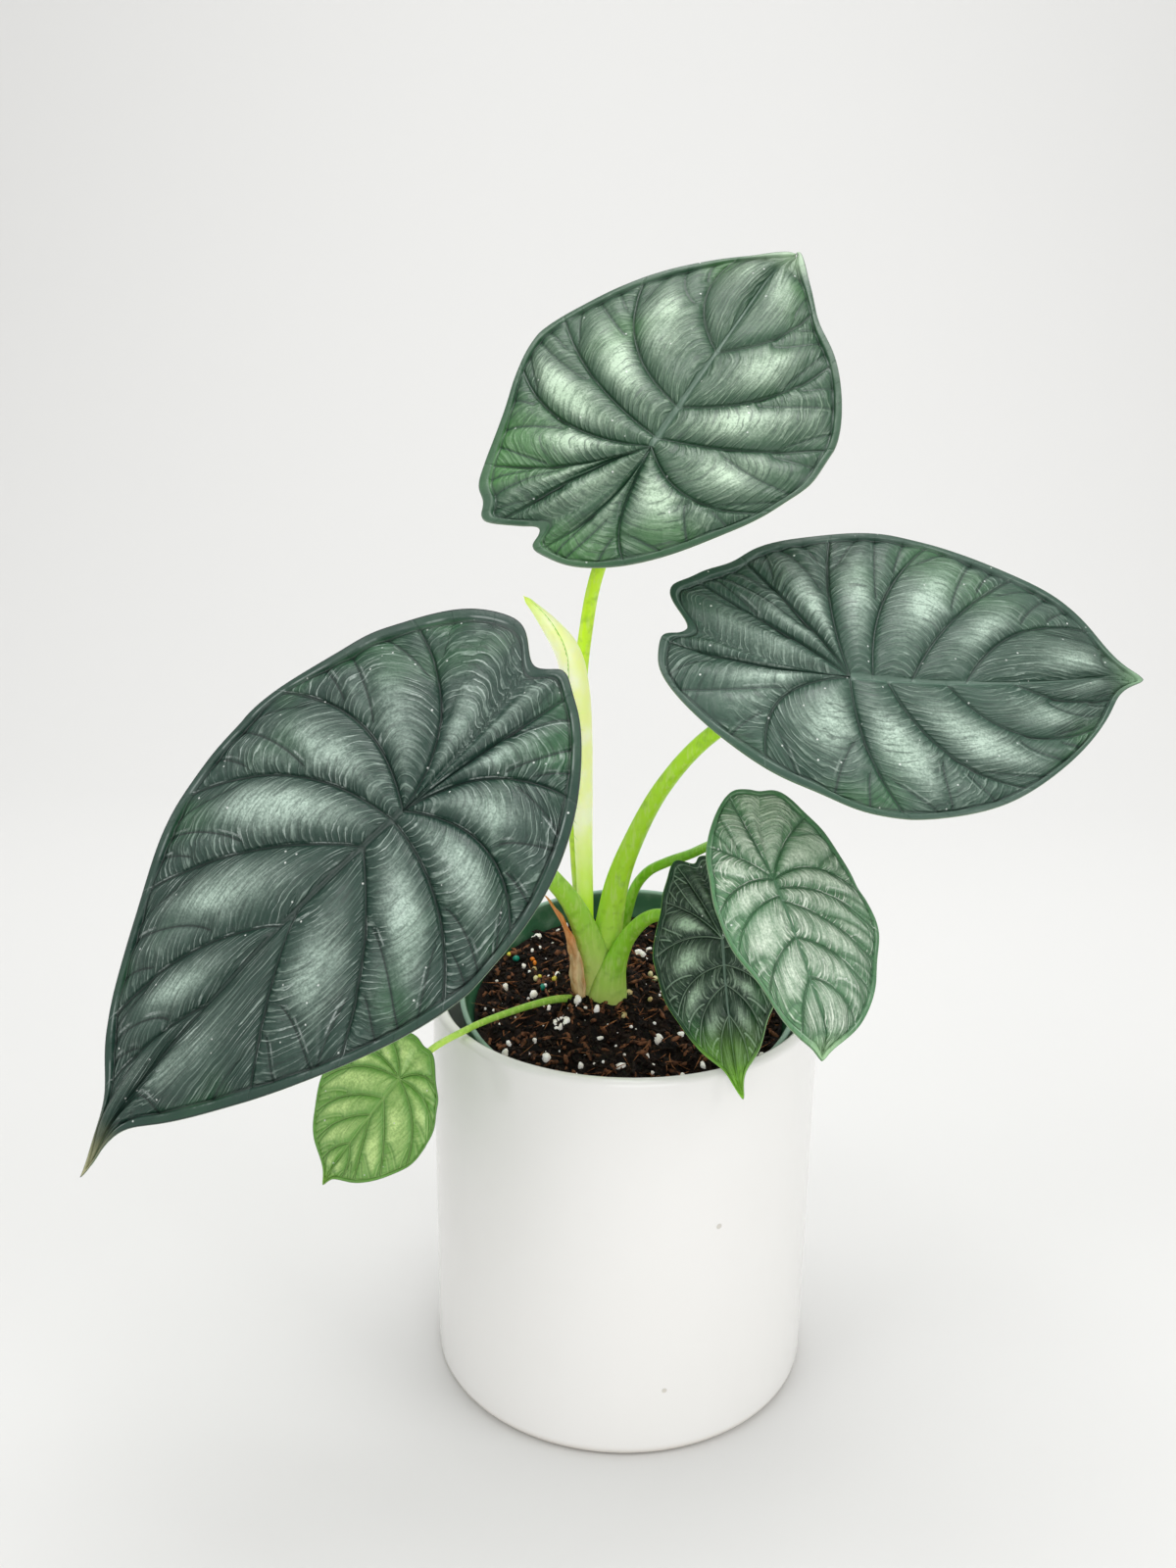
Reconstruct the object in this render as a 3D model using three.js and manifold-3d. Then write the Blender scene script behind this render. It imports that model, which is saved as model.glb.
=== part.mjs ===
// Potted aroid with quilted leaves, in millimetres, +Z up.
// Origin: centre of the cover pot's flat base. -Y is the front, +X is right.
import * as THREE from 'three';
import Module from 'manifold-3d';
import { mergeVertices } from 'three/addons/utils/BufferGeometryUtils.js';

const wasm = await Module();
wasm.setup();

// Driving dimensions
const seatGap = 0.3;
const coverPot = { radius: 60, height: 125.6, wall: 4, floor: 8, lip: 1.8, foot: 3, cove: 6, sides: 52 };
const nurseryPot = {
  rimRadius: 52.3, baseRadius: 33, height: 116.7, wall: 1.3, rimWall: 1.7, floor: 1.5, chamfer: 1,
  bandHeight: 11, bandStep: 1.5, rimCentre: [1, -4.4, 129.4], leanDegrees: 13,
  holeCount: 6, holeRadius: 4, holeRing: 22, sides: 48,
};
const crownStem = {
  x: -8, y: 2, rootRadius: 6.4, radius: 8, topRadius: 6,
  rootZ: 103, rootTopZ: 107, shoulderZ: 122.5, topZ: 125, sides: 16,
};

// Soil: its waves are height, rate and offset across the pot, then rate and offset from front to back
const soilFill = {
  belowRim: 9, clearance: 0.4, rings: 8, sides: 36,
  waves: [[0.65, 0.21, 1.3, 0.19, -0.4], [0.4, 0.43, 2, 0.37, 0.6], [0.45, 0.9, 0.5, 0.83, -0.5]],
};

// Blade: a quilted surface woven from vein lines.
// Widths of the point, notch, lobes and taper are turns round the margin, in radians.
const blade = {
  thickness: 1, panels: 7, spineReach: 0.95,
  droopTip: -0.12, droopBase: -0.06, cup: -0.05, baseFullness: 1.2,
  notchWidth: 0.13, pointWidth: 0.16, taper: 0.35, taperWidth: 0.3,
  lobeFromNotch: 0.5, lobeWidth: 0.3, hookReach: 0.1,
  ridgeSharpness: 0.7, quiltStart: 0.3, quiltEnd: 0.62, rimShare: 0.85, widestRim: 0.25, rimRoll: 0.3,
  midribSink: 0.25, midribWidth: 0.12,
  across: [0, 0.13, 0.35, 0.6, 0.85, 0.93, 1], tipRows: [0, 0.1, 0.25, 0.5, 0.75],
  closestRows: 0.8, marginSamples: 200, cutHeight: 4,
};

// Each leaf: where its stalk meets it, which way its tip and its face look, and its outline.
// Lengths are measured along and across the midrib from the stalk's top.
// Each vein: the share of the margin, from the tip, where it ends, its start on the midrib, and its bow.
const leaves = [
  {
    name: 'leaf_large_left', color: 0x33473f, steps: 4, quilt: 2.3, rim: 5.5, wave: 0.8,
    stalkTop: [-58, -65.4, 204.6], tipWay: [-0.73, -0.29, -0.62], faceWay: [-0.21, -0.77, 0.6],
    widest: 16, ahead: 94, behind: 74.5, left: 48.5, right: 57, tipFullness: 1.4, sideFullness: 1.47,
    point: 15, notch: 7.8, sway: 0.04, baseSway: -0.18, tipHook: 3, lobeLeft: -1.5, lobeRight: 2.7,
    veinsLeft: [
      [0.26, 37, -0.05], [0.378, 13.6, 0.14], [0.514, 3.6, 0.23],
      [0.62, 0, 0.45], [0.8, 0, 0.32], [0.925, 0, 0.08],
    ],
    veinsRight: [
      [0.09, 70, 0.1], [0.16, 42.4, 0.2], [0.308, 13.6, 0.14],
      [0.426, 3.6, 0.28], [0.592, 0, 0.33], [0.788, 0, 0.35],
    ],
  },
  {
    name: 'leaf_top', color: 0x3d5a48, steps: 4, quilt: 1.9, rim: 4.5, wave: 0.6,
    stalkTop: [4, -13, 292.7], tipWay: [0.5, 0.53, 0.69], faceWay: [-0.13, -0.74, 0.66],
    widest: 22, ahead: 65.5, behind: 64.5, left: 51.5, right: 44, tipFullness: 1.3, sideFullness: 2.15,
    point: -1.8, notch: 7.4, sway: 0.06, baseSway: 0.52, tipHook: -3, lobeLeft: -2.1, lobeRight: 15.1,
    veinsLeft: [
      [0.082, 37, 0.36], [0.26, 14.8, 0.3], [0.421, 3.2, 0.16],
      [0.548, 0, 0.32], [0.77, 0, 0.18], [0.95, 0, -0.3],
    ],
    veinsRight: [
      [0.161, 37, 0.26], [0.285, 14.8, 0.25], [0.462, 3.2, 0.13],
      [0.621, 0, 0.4], [0.814, 0, 0.26], [0.93, 0, 0.05],
    ],
  },
  {
    name: 'leaf_right', color: 0x3b554b, steps: 4, quilt: 1.9, rim: 4.5, wave: 0.6,
    stalkTop: [58.2, -37, 235.4], tipWay: [0.99, 0.09, -0.1], faceWay: [0.14, -0.66, 0.74],
    widest: 14, ahead: 68.5, behind: 65.5, left: 53, right: 42, tipFullness: 1.2, sideFullness: 1.25,
    point: 7.5, notch: 8, sway: 0.21, baseSway: 0.35, tipHook: -2.7, lobeLeft: -13, lobeRight: 17.2,
    veinsLeft: [
      [0.114, 32.6, 0.42], [0.286, 17, 0.18], [0.439, 6.3, 0.22],
      [0.603, 0, 0.12], [0.773, 0, -0.07], [0.887, 0, -0.12],
    ],
    veinsRight: [
      [0.07, 46.6, 0.2], [0.127, 26.8, 0.39], [0.292, 10, 0.29],
      [0.499, 0, 0.16], [0.704, 0, 0.45], [0.935, 0, 0.05],
    ],
  },
  {
    name: 'leaf_small_dark', color: 0x2f4a3c, steps: 2, quilt: 1.0, rim: 2.6, wave: 0.4,
    stalkTop: [26.8, -40.7, 160.5], tipWay: [0.05, -0.51, -0.86], faceWay: [-0.4, -0.8, 0.45],
    widest: 4, ahead: 33, behind: 29, left: 17.5, right: 21.5, tipFullness: 1.65, sideFullness: 1.1,
    point: 6.8, notch: 2.6, sway: 0.02, baseSway: -0.4, tipHook: 0.5, lobeLeft: 4.8, lobeRight: -3.2,
    veinsLeft: [
      [0.115, 20.9, 0.23], [0.224, 12.6, 0.26], [0.34, 7.2, 0.3],
      [0.45, 2.5, 0.4], [0.66, 0, 0.3], [0.85, 0, 0.17],
    ],
    veinsRight: [
      [0.1, 20.9, 0.17], [0.19, 12.6, 0.3], [0.32, 7.2, 0.35],
      [0.541, 0, 0.27], [0.75, 0, 0.15], [0.93, 0, -0.1],
    ],
  },
  {
    name: 'leaf_small_pale', color: 0x6f8f7c, steps: 2, quilt: 1.1, rim: 3, wave: 0.5,
    stalkTop: [38.9, -54.1, 183.8], tipWay: [0.33, -0.68, -0.66], faceWay: [0.39, -0.54, 0.75],
    widest: 7, ahead: 40.5, behind: 36.5, left: 28.5, right: 21, tipFullness: 1.2, sideFullness: 1.15,
    point: 1.6, notch: 1.1, sway: 0.02, baseSway: 0.32, tipHook: -3.7, lobeLeft: -4.8, lobeRight: 9,
    veinsLeft: [
      [0.108, 28, 0.4], [0.22, 17, 0.26], [0.32, 6.6, 0.16],
      [0.41, 2.8, 0.3], [0.52, 0, 0.4], [0.81, 0, 0.1],
    ],
    veinsRight: [
      [0.1, 28, 0.15], [0.234, 17, 0.2], [0.368, 5.1, 0.28],
      [0.484, 0, 0.28], [0.704, 0, 0.1], [0.884, 0, 0.1],
    ],
  },
  {
    name: 'leaf_young_low', color: 0x5f9443, steps: 2, quilt: 0.7, rim: 2, wave: 0.3,
    stalkTop: [-63.4, -50.8, 119.8], tipWay: [-0.62, -0.19, -0.76], faceWay: [-0.26, -0.87, 0.43],
    widest: 9, ahead: 27, behind: 21.5, left: 18, right: 20, tipFullness: 1, sideFullness: 1.3,
    point: 3.7, notch: 1, sway: 0.01, baseSway: -0.07, tipHook: 0.5, lobeLeft: -4.8, lobeRight: 0.4,
    veinsLeft: [
      [0.105, 24, 0.2], [0.17, 13.3, 0], [0.3, 7.2, 0.08],
      [0.431, 0, 0.26], [0.622, 0, 0.34], [0.817, 0, 0.38],
    ],
    veinsRight: [
      [0.096, 24, 0.2], [0.18, 13.3, 0.2], [0.29, 7.2, 0.24],
      [0.425, 0, 0.3], [0.6, 0, 0.3], [0.8, 0, 0.2],
    ],
  },
];

// Stalks: points that the centre line passes through, and the radius at each
const stalks = [
  {
    name: 'stalk_right', color: 0x86b446, leaf: 'leaf_right', sides: 12, steps: 18,
    through: [[-7, 2.5, 121], [-6.8, 1.5, 133], [-5.3, 0, 148], [-3.1, -2, 162], [0.6, -4, 174],
      [9.4, -10, 194.5], [23.3, -21, 214.6], [42, -31, 228]],
    girth: [5.4, 5.2, 4.4, 3.6, 3, 2.5, 2.3, 2.1, 1.9],
  },
  {
    name: 'stalk_large_left', color: 0x86b446, leaf: 'leaf_large_left', sides: 10, steps: 14,
    through: [[-10, -1, 121], [-9.6, -2, 134], [-11.5, -4, 143.5], [-15, -7.5, 154], [-20, -13, 164],
      [-36, -30, 186]],
    girth: [4.8, 4.8, 4.2, 3.4, 2.8, 2.5, 2.2],
  },
  {
    name: 'new_leaf', color: 0xb9d37a, sides: 10, steps: 18,
    through: [[-12.5, 4, 121], [-12.6, 2, 140], [-13, 0, 160], [-13.5, 0, 174], [-14, -1, 193],
      [-14.8, -2, 211], [-16.2, -3, 223], [-18.8, -4, 233.5], [-24, -5, 241.5], [-31.3, -6, 250]],
    girth: [2.4, 2.4, 2.5, 2.7, 3, 3.4, 3.9, 3.9, 2.6, 0.5],
  },
  {
    name: 'stalk_top', color: 0x86b446, leaf: 'leaf_top', sides: 10, steps: 18,
    through: [[-13, 8, 121], [-13, 8.5, 140], [-15.4, 9.5, 164], [-16.9, 9.5, 190], [-15.8, 7, 215],
      [-13.9, 3.5, 236.5], [-10.4, 0, 256]],
    girth: [3, 2.8, 2.4, 2.2, 2.1, 2, 1.9, 1.8],
  },
  {
    name: 'stalk_small_pale', color: 0x7fae42, leaf: 'leaf_small_pale', sides: 8, steps: 18,
    through: [[-3.6, 8.4, 121], [-3, 9, 130], [-1.6, 9, 139.5], [0.1, 7, 148.7], [2.4, 4, 158],
      [6.4, -1, 165.3], [11.6, -6, 170.1], [18.2, -12, 175], [24.9, -24, 182.6], [33, -40, 187.5]],
    girth: [2.4, 2.2, 1.9, 1.7, 1.6, 1.5, 1.5, 1.4, 1.4, 1.3, 1.3],
  },
  {
    name: 'stalk_small_dark', color: 0x7fae42, leaf: 'leaf_small_dark', sides: 8, steps: 12,
    through: [[-3.6, -2.6, 121], [-3.8, -3.6, 128], [-2.6, -5, 137], [0.8, -8, 147.8], [9.3, -18, 158]],
    girth: [4.2, 3.8, 2.6, 2, 1.8, 1.5],
  },
  {
    name: 'stalk_young', color: 0x93bf4a, leaf: 'leaf_young_low', sides: 8, steps: 16,
    through: [[-13, 0.5, 114], [-14.2, -0.5, 121], [-20, -6.5, 124.6], [-27.6, -15, 126.6],
      [-41, -29, 127.6], [-46.2, -35, 127.5], [-54.6, -43, 125.6]],
    girth: [1.3, 1.3, 1.2, 1.1, 1, 1, 1, 0.9],
  },
];

// Dry sheath: a papery strip that curls up beside the crown
const drySheath = {
  through: [[-16.6, 0, 121.3], [-17, -2.6, 130], [-18.6, -5.4, 140], [-21.6, -8.4, 150], [-26, -11, 160.5]],
  halfWidth: [3.2, 3.6, 3, 2.2, 0.7], thickness: 0.9, curl: 0.25, steps: 10, strips: 4,
};

const mergeWithin = 1e-4;
const drainSides = 12;
const cornerMid = 1 - Math.SQRT1_2;
const { clamp } = THREE.MathUtils;
const toVector = (xyz) => new THREE.Vector3(...xyz);

// 0 below the first edge, 1 above the second, with a soft start and end
function soften(from, to, x) {
  const t = clamp((x - from) / (to - from), 0, 1);
  return t * t * (3 - 2 * t);
}

// A closed geometry from points and triangles, with points at the same place made one
function closedGeometry(points, triangles) {
  const geometry = new THREE.BufferGeometry();
  geometry.setAttribute('position', new THREE.Float32BufferAttribute(points.flat(), 3));
  geometry.setIndex(triangles.flat());
  return dropFlatTriangles(mergeVertices(geometry, mergeWithin));
}

// Triangles that lose a corner when points are merged are left out
function dropFlatTriangles(geometry) {
  const index = geometry.index.array;
  const kept = [];
  for (let i = 0; i < index.length; i += 3) {
    const [a, b, c] = [index[i], index[i + 1], index[i + 2]];
    if (a !== b && b !== c && c !== a) kept.push(a, b, c);
  }
  geometry.setIndex(kept);
  return geometry;
}

function toSolid(geometry) {
  const bare = geometry.clone();
  bare.deleteAttribute('normal');
  bare.deleteAttribute('uv');
  const merged = dropFlatTriangles(mergeVertices(bare, mergeWithin));
  return new wasm.Manifold(new wasm.Mesh({
    numProp: 3,
    vertProperties: new Float32Array(merged.attributes.position.array),
    triVerts: new Uint32Array(merged.index.array),
  }));
}

function toGeometry(solid) {
  const mesh = solid.getMesh();
  const geometry = new THREE.BufferGeometry();
  geometry.setAttribute('position', new THREE.BufferAttribute(new Float32Array(mesh.vertProperties), 3));
  geometry.setIndex(new THREE.BufferAttribute(new Uint32Array(mesh.triVerts), 1));
  return geometry;
}

// The body less the tools, without any scrap that the cuts leave loose
function cutAway(geometry, tools) {
  let solid = toSolid(geometry);
  for (const tool of tools) solid = solid.subtract(toSolid(tool));
  const pieces = solid.decompose();
  pieces.sort((a, b) => b.volume() - a.volume());
  return toGeometry(pieces[0]);
}

function lathe(profile, sides) {
  const geometry = new THREE.LatheGeometry(profile.map(([r, z]) => new THREE.Vector2(r, z)), sides);
  return geometry.rotateX(Math.PI / 2);
}

function finish(name, geometry, color, roughness) {
  geometry.computeVertexNormals();
  const material = new THREE.MeshStandardMaterial({ color, roughness, metalness: 0 });
  const mesh = new THREE.Mesh(geometry, material);
  mesh.name = name;
  return mesh;
}

// Cover pot: a straight glazed cylinder with a rounded lip and a thick floor
function coverPotGeometry() {
  const { radius, height, wall, floor, lip, foot, cove, sides } = coverPot;
  const inner = radius - wall;
  const [lipMid, footMid] = [lip * cornerMid, foot * cornerMid];
  return lathe([
    [0, 0], [radius - foot, 0], [radius - footMid, footMid], [radius, foot],
    [radius, height - lip], [radius - lipMid, height - lipMid], [radius - lip, height],
    [inner + lip, height], [inner + lipMid, height - lipMid], [inner, height - lip],
    [inner, floor + cove], [inner - cove, floor], [0, floor],
  ], sides);
}

// Radius of the nursery pot's outside at a height above its base
function nurseryRadius(z) {
  const { rimRadius, baseRadius, height, bandStep } = nurseryPot;
  return baseRadius + (rimRadius - bandStep - baseRadius) * (z / height);
}

function nurseryPotGeometry() {
  const { rimRadius, baseRadius, height, wall, rimWall, floor, chamfer, sides } = nurseryPot;
  const { bandHeight, bandStep, holeCount, holeRadius, holeRing } = nurseryPot;
  const bandZ = height - bandHeight;
  const neck = nurseryRadius(bandZ);
  const body = lathe([
    [0, 0], [baseRadius - chamfer, 0], [baseRadius, chamfer], [neck, bandZ],
    [neck + bandStep, bandZ + chamfer], [rimRadius, height], [rimRadius - rimWall, height],
    [neck + bandStep - wall, bandZ + bandStep], [neck - wall, bandZ],
    [nurseryRadius(floor) - wall, floor], [0, floor],
  ], sides);
  const drains = Array.from({ length: holeCount }, (_, i) => {
    const turn = (i / holeCount) * 2 * Math.PI;
    const [x, y] = [holeRing * Math.cos(turn), holeRing * Math.sin(turn)];
    const drain = new THREE.CylinderGeometry(holeRadius, holeRadius, floor * 4, drainSides);
    return drain.rotateX(Math.PI / 2).translate(x, y, floor / 2);
  });
  return cutAway(body, drains);
}

// Unevenness of the soil's surface: crossing waves stand for clods
function soilBump(x, y) {
  return soilFill.waves.reduce((sum, [height, rateX, offsetX, rateY, offsetY]) => (
    sum + height * Math.sin(x * rateX + offsetX) * Math.cos(y * rateY + offsetY)
  ), 0);
}

// Soil, in the nursery pot's own frame: it fills the pot to a bumpy surface below the rim
function soilGeometry() {
  const { height, floor, wall, bandHeight } = nurseryPot;
  const { belowRim, clearance, rings, sides } = soilFill;
  const topZ = height - belowRim;
  const neckZ = height - bandHeight - 1;
  const points = [];
  const levels = [
    [floor + seatGap, 0], [floor + seatGap, nurseryRadius(floor) - wall - clearance],
    [neckZ, nurseryRadius(neckZ) - wall - clearance],
  ];
  for (const [z, radius] of levels) {
    for (let s = 0; s < sides; s += 1) {
      const turn = (s / sides) * 2 * Math.PI;
      points.push([radius * Math.cos(turn), radius * Math.sin(turn), z]);
    }
  }
  const edge = nurseryRadius(topZ) - wall - clearance;
  for (let ring = 0; ring <= rings; ring += 1) {
    const radius = edge * (1 - ring / rings);
    for (let s = 0; s < sides; s += 1) {
      const turn = (s / sides) * 2 * Math.PI;
      const [x, y] = [radius * Math.cos(turn), radius * Math.sin(turn)];
      points.push([x, y, topZ + soilBump(x, y)]);
    }
  }
  return closedGeometry(points, ringTriangles(points.length / sides, sides));
}

// Triangles between rings of points that run from one end of a body to the other
function ringTriangles(rings, sides) {
  const triangles = [];
  for (let ring = 0; ring < rings - 1; ring += 1) {
    for (let s = 0; s < sides; s += 1) {
      const next = (s + 1) % sides;
      const [a, b] = [ring * sides + s, ring * sides + next];
      triangles.push([a, b, b + sides], [a, b + sides, a + sides]);
    }
  }
  return triangles;
}

// Radius or width at a share of the way along a list of values
function along(values, share) {
  const at = share * (values.length - 1);
  const i = Math.min(Math.floor(at), values.length - 2);
  return values[i] + (values[i + 1] - values[i]) * (at - i);
}

// A round stalk along a smooth line, closed at both ends, fatter all round by grow
function stalkGeometry({ through, girth, sides, steps }, grow = 0) {
  const line = new THREE.CatmullRomCurve3(through.map(toVector), false, 'centripetal');
  const frames = line.computeFrenetFrames(steps, false);
  const points = [];
  for (let i = -1; i <= steps + 1; i += 1) {
    const at = clamp(i, 0, steps);
    const share = at / steps;
    const isCap = i < 0 || i > steps;
    const beyond = grow * Math.sign(share - 0.5);
    const centre = line.getPointAt(share).addScaledVector(frames.tangents[at], beyond);
    const radius = isCap ? 0 : along(girth, line.getUtoTmapping(share)) + grow;
    for (let s = 0; s < sides; s += 1) {
      const turn = (s / sides) * 2 * Math.PI;
      const point = centre.clone()
        .addScaledVector(frames.normals[at], radius * Math.cos(turn))
        .addScaledVector(frames.binormals[at], radius * Math.sin(turn));
      points.push(point.toArray());
    }
  }
  return closedGeometry(points, ringTriangles(steps + 3, sides));
}

// Crown: a plain plug in the soil with a low shoulder above it
function crownGeometry(grow = 0) {
  const { x, y, rootRadius, radius, topRadius, rootZ, rootTopZ, shoulderZ, topZ, sides } = crownStem;
  const profile = [
    [0, rootZ - grow], [rootRadius + grow, rootZ - grow], [radius + grow, rootTopZ],
    [radius + grow, shoulderZ], [topRadius + grow, topZ + grow], [0, topZ + grow],
  ];
  return lathe(profile, sides).translate(x, y, 0);
}

// Dry sheath: a curled strip, thin and closed, built as an inner and an outer face
function drySheathGeometry(grow = 0) {
  const { through, halfWidth, thickness, curl, steps, strips } = drySheath;
  const line = new THREE.CatmullRomCurve3(through.map(toVector), false, 'centripetal');
  const crown = new THREE.Vector3(crownStem.x, crownStem.y, 0);
  const sides = 2 * (strips + 1);
  const points = [];
  for (let i = -1; i <= steps + 1; i += 1) {
    const at = clamp(i, 0, steps) / steps;
    const centre = line.getPointAt(at);
    const out = centre.clone().sub(crown).setZ(0).normalize();
    const side = new THREE.Vector3(-out.y, out.x, 0);
    const half = along(halfWidth, line.getUtoTmapping(at)) + grow;
    const isCap = i < 0 || i > steps;
    for (let s = 0; s < sides; s += 1) {
      const isOuter = s <= strips;
      const reach = isOuter ? s / strips : (sides - 1 - s) / strips;
      const offset = isCap ? 0 : (reach * 2 - 1) * half;
      const bend = isCap ? 0 : -curl * offset * offset / half;
      const skin = isCap ? 0 : (isOuter ? 0.5 : -0.5) * thickness + (isOuter ? grow : -grow);
      const point = centre.clone().addScaledVector(side, offset).addScaledVector(out, bend + skin);
      points.push(point.toArray());
    }
  }
  return closedGeometry(points, ringTriangles(steps + 3, sides));
}

// Margin of the flat blade at turn 0 (tip) to PI (notch), on the left (side 1) or right (side -1)
function marginPoint(leaf, turn, side) {
  const [c, s] = [Math.cos(turn), Math.sin(turn)];
  const isFront = c > 0;
  const reach = isFront ? leaf.ahead : leaf.behind;
  const fullness = isFront ? leaf.tipFullness : blade.baseFullness;
  let u = leaf.widest + reach * Math.sign(c) * Math.abs(c) ** fullness;
  u += leaf.point * Math.exp(-((turn / blade.pointWidth) ** 2));
  u += leaf.notch * Math.exp(-(((Math.PI - turn) / blade.notchWidth) ** 2));
  const lobe = side > 0 ? leaf.lobeLeft : leaf.lobeRight;
  u -= lobe * s * Math.exp(-(((Math.PI - turn - blade.lobeFromNotch) / blade.lobeWidth) ** 2));
  const width = side > 0 ? leaf.left : leaf.right;
  const taper = 1 - blade.taper * Math.exp(-((turn / blade.taperWidth) ** 2));
  return [u, side * width * Math.abs(s) ** (isFront ? leaf.sideFullness : 1) * taper];
}

// Margin point at a share of the margin's length, from the tip to the notch
function marginAt(leaf, side, share) {
  const count = blade.marginSamples;
  const ends = [];
  let length = 0;
  let last = marginPoint(leaf, 0, side);
  for (let i = 0; i <= count; i += 1) {
    const point = marginPoint(leaf, (i / count) * Math.PI, side);
    length += Math.hypot(point[0] - last[0], point[1] - last[1]);
    ends.push(length);
    last = point;
  }
  const wanted = share * length;
  const after = Math.max(1, ends.findIndex((end) => end >= wanted - mergeWithin));
  const part = (wanted - ends[after - 1]) / (ends[after] - ends[after - 1]);
  return marginPoint(leaf, ((after - 1 + part) / count) * Math.PI, side);
}

// Share, start and bow of the line at a place between the tip (0) and the notch (panels)
function veinLine(leaf, side, vein) {
  const own = side > 0 ? leaf.veinsLeft : leaf.veinsRight;
  const lines = [[0, blade.spineReach * (leaf.ahead + leaf.widest), 0], ...own, [1, 0, 0]];
  const i = Math.min(Math.floor(vein), blade.panels - 1);
  return lines[i].map((value, k) => value + (lines[i + 1][k] - value) * (vein - i));
}

// Places of a side's rows, from the tip to the notch. In front of the stalk's top both sides start
// their rows at the same points of the midrib, where they meet: the starts of both sides' own rows.
function rowPlaces(leaf, side) {
  const wanted = [...blade.tipRows];
  for (let vein = 1; vein < blade.panels; vein += 0.5) wanted.push(vein);
  const startOf = (way, vein) => veinLine(leaf, way, vein)[1];
  const starts = [1, -1].flatMap((way) => wanted.map((vein) => startOf(way, vein)));
  starts.sort((a, b) => b - a);
  const shared = starts.filter((start, i) => (
    start > 0 && (i === 0 || starts[i - 1] - start > blade.closestRows)
  ));
  const places = shared.map((start) => {
    const after = wanted.findIndex((vein) => startOf(side, vein) < start);
    if (after < 1) return 0;
    const [from, to] = [wanted[after - 1], wanted[after]];
    return from + (to - from) * (startOf(side, from) - start) / (startOf(side, from) - startOf(side, to));
  });
  const hub = wanted.find((vein) => startOf(side, vein) === 0);
  for (let i = 0; i <= (blade.panels - hub) * leaf.steps; i += 1) places.push(hub + i / leaf.steps);
  return places;
}

// Point of the flat blade on the line from a start on the midrib to its end on the margin.
// The line bows towards the notch.
function flatPoint(leaf, side, [start, bow], end, across) {
  const [du, dv] = [end[0] - start, end[1]];
  const rimPart = Math.min(blade.widestRim, leaf.rim / Math.max(Math.hypot(du, dv), mergeWithin));
  const r = across < blade.rimShare
    ? (across / blade.rimShare) * (1 - rimPart)
    : 1 - rimPart + rimPart * (across - blade.rimShare) / (1 - blade.rimShare);
  const bowU = start + 0.5 * du - side * bow * dv;
  const bowV = 0.5 * dv + side * bow * du;
  const [a, b, c] = [(1 - r) ** 2, 2 * r * (1 - r), r * r];
  return [a * start + b * bowU + c * end[0], b * bowV + c * end[1]];
}

// The blade droops to its tip and its base, cups a little, and its midrib sways
function bentPoint(leaf, u, v) {
  const front = leaf.ahead + leaf.widest;
  const back = leaf.behind - leaf.widest;
  const width = 0.5 * (leaf.left + leaf.right);
  const [reach, droop, sway] = u > 0
    ? [front, blade.droopTip, leaf.sway]
    : [back, blade.droopBase, leaf.baseSway];
  const hook = leaf.tipHook * Math.exp(-(((front + leaf.point - u) / (blade.hookReach * front)) ** 2));
  return [u, v + sway * u * u / reach + hook, droop * u * u / reach + blade.cup * v * v / width];
}

// Relief: panels bulge between sunken veins, inside a sunken line along the rim
function relief(leaf, vein, across) {
  const bulge = Math.abs(Math.sin(Math.PI * vein)) ** blade.ridgeSharpness;
  const inside = soften(0, blade.quiltStart, across) * (1 - soften(blade.quiltEnd, blade.rimShare, across));
  const rimPart = clamp((across - blade.rimShare) / (1 - blade.rimShare), 0, 1);
  const roll = blade.rimRoll * Math.sin(Math.PI * rimPart);
  const midrib = blade.midribSink * leaf.quilt * (1 - soften(0, blade.midribWidth, across));
  const wave = leaf.wave * Math.sin(Math.PI * vein + leaf.quilt) * across ** 4 * soften(0, 1, vein);
  return leaf.quilt * bulge * inside + roll - midrib + wave;
}

// Closed blade: an upper and a lower face split alike, joined round the margin
function bladeGeometry(leaf, above = 0, below = blade.thickness) {
  const columns = blade.across.length;
  const points = [];
  const triangles = [];
  for (const side of [1, -1]) {
    const first = points.length;
    const places = rowPlaces(leaf, side);
    const half = places.length * columns;
    for (const offset of [above, -below]) {
      for (const vein of places) {
        const [share, ...line] = veinLine(leaf, side, vein);
        const end = marginAt(leaf, side, share);
        for (const across of blade.across) {
          const [u, v] = flatPoint(leaf, side, line, end, across);
          const [x, y, z] = bentPoint(leaf, u, v);
          const closing = 1 - soften(blade.panels - 1, blade.panels, vein);
          points.push([x, y, z + relief(leaf, vein, across) * closing + offset]);
        }
      }
    }
    const quad = (a, b, c, d) => {
      if (side < 0) triangles.push([a, b, c], [a, c, d]);
      else triangles.push([a, c, b], [a, d, c]);
    };
    for (let i = 0; i < places.length - 1; i += 1) {
      for (let j = 0; j < columns - 1; j += 1) {
        const a = first + i * columns + j;
        quad(a, a + columns, a + columns + 1, a + 1);
        quad(a + half, a + half + 1, a + half + columns + 1, a + half + columns);
      }
      const edge = first + i * columns + columns - 1;
      quad(edge, edge + columns, edge + half + columns, edge + half);
    }
  }
  return closedGeometry(points, triangles);
}

// A leaf's own frame: first axis to the tip, third axis out of its upper face
function leafMatrix(leaf) {
  const tip = toVector(leaf.tipWay).normalize();
  const face = toVector(leaf.faceWay);
  face.addScaledVector(tip, -face.dot(tip)).normalize();
  const matrix = new THREE.Matrix4().makeBasis(tip, new THREE.Vector3().crossVectors(face, tip), face);
  return matrix.setPosition(toVector(leaf.stalkTop));
}

const plant = new THREE.Group();

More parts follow.
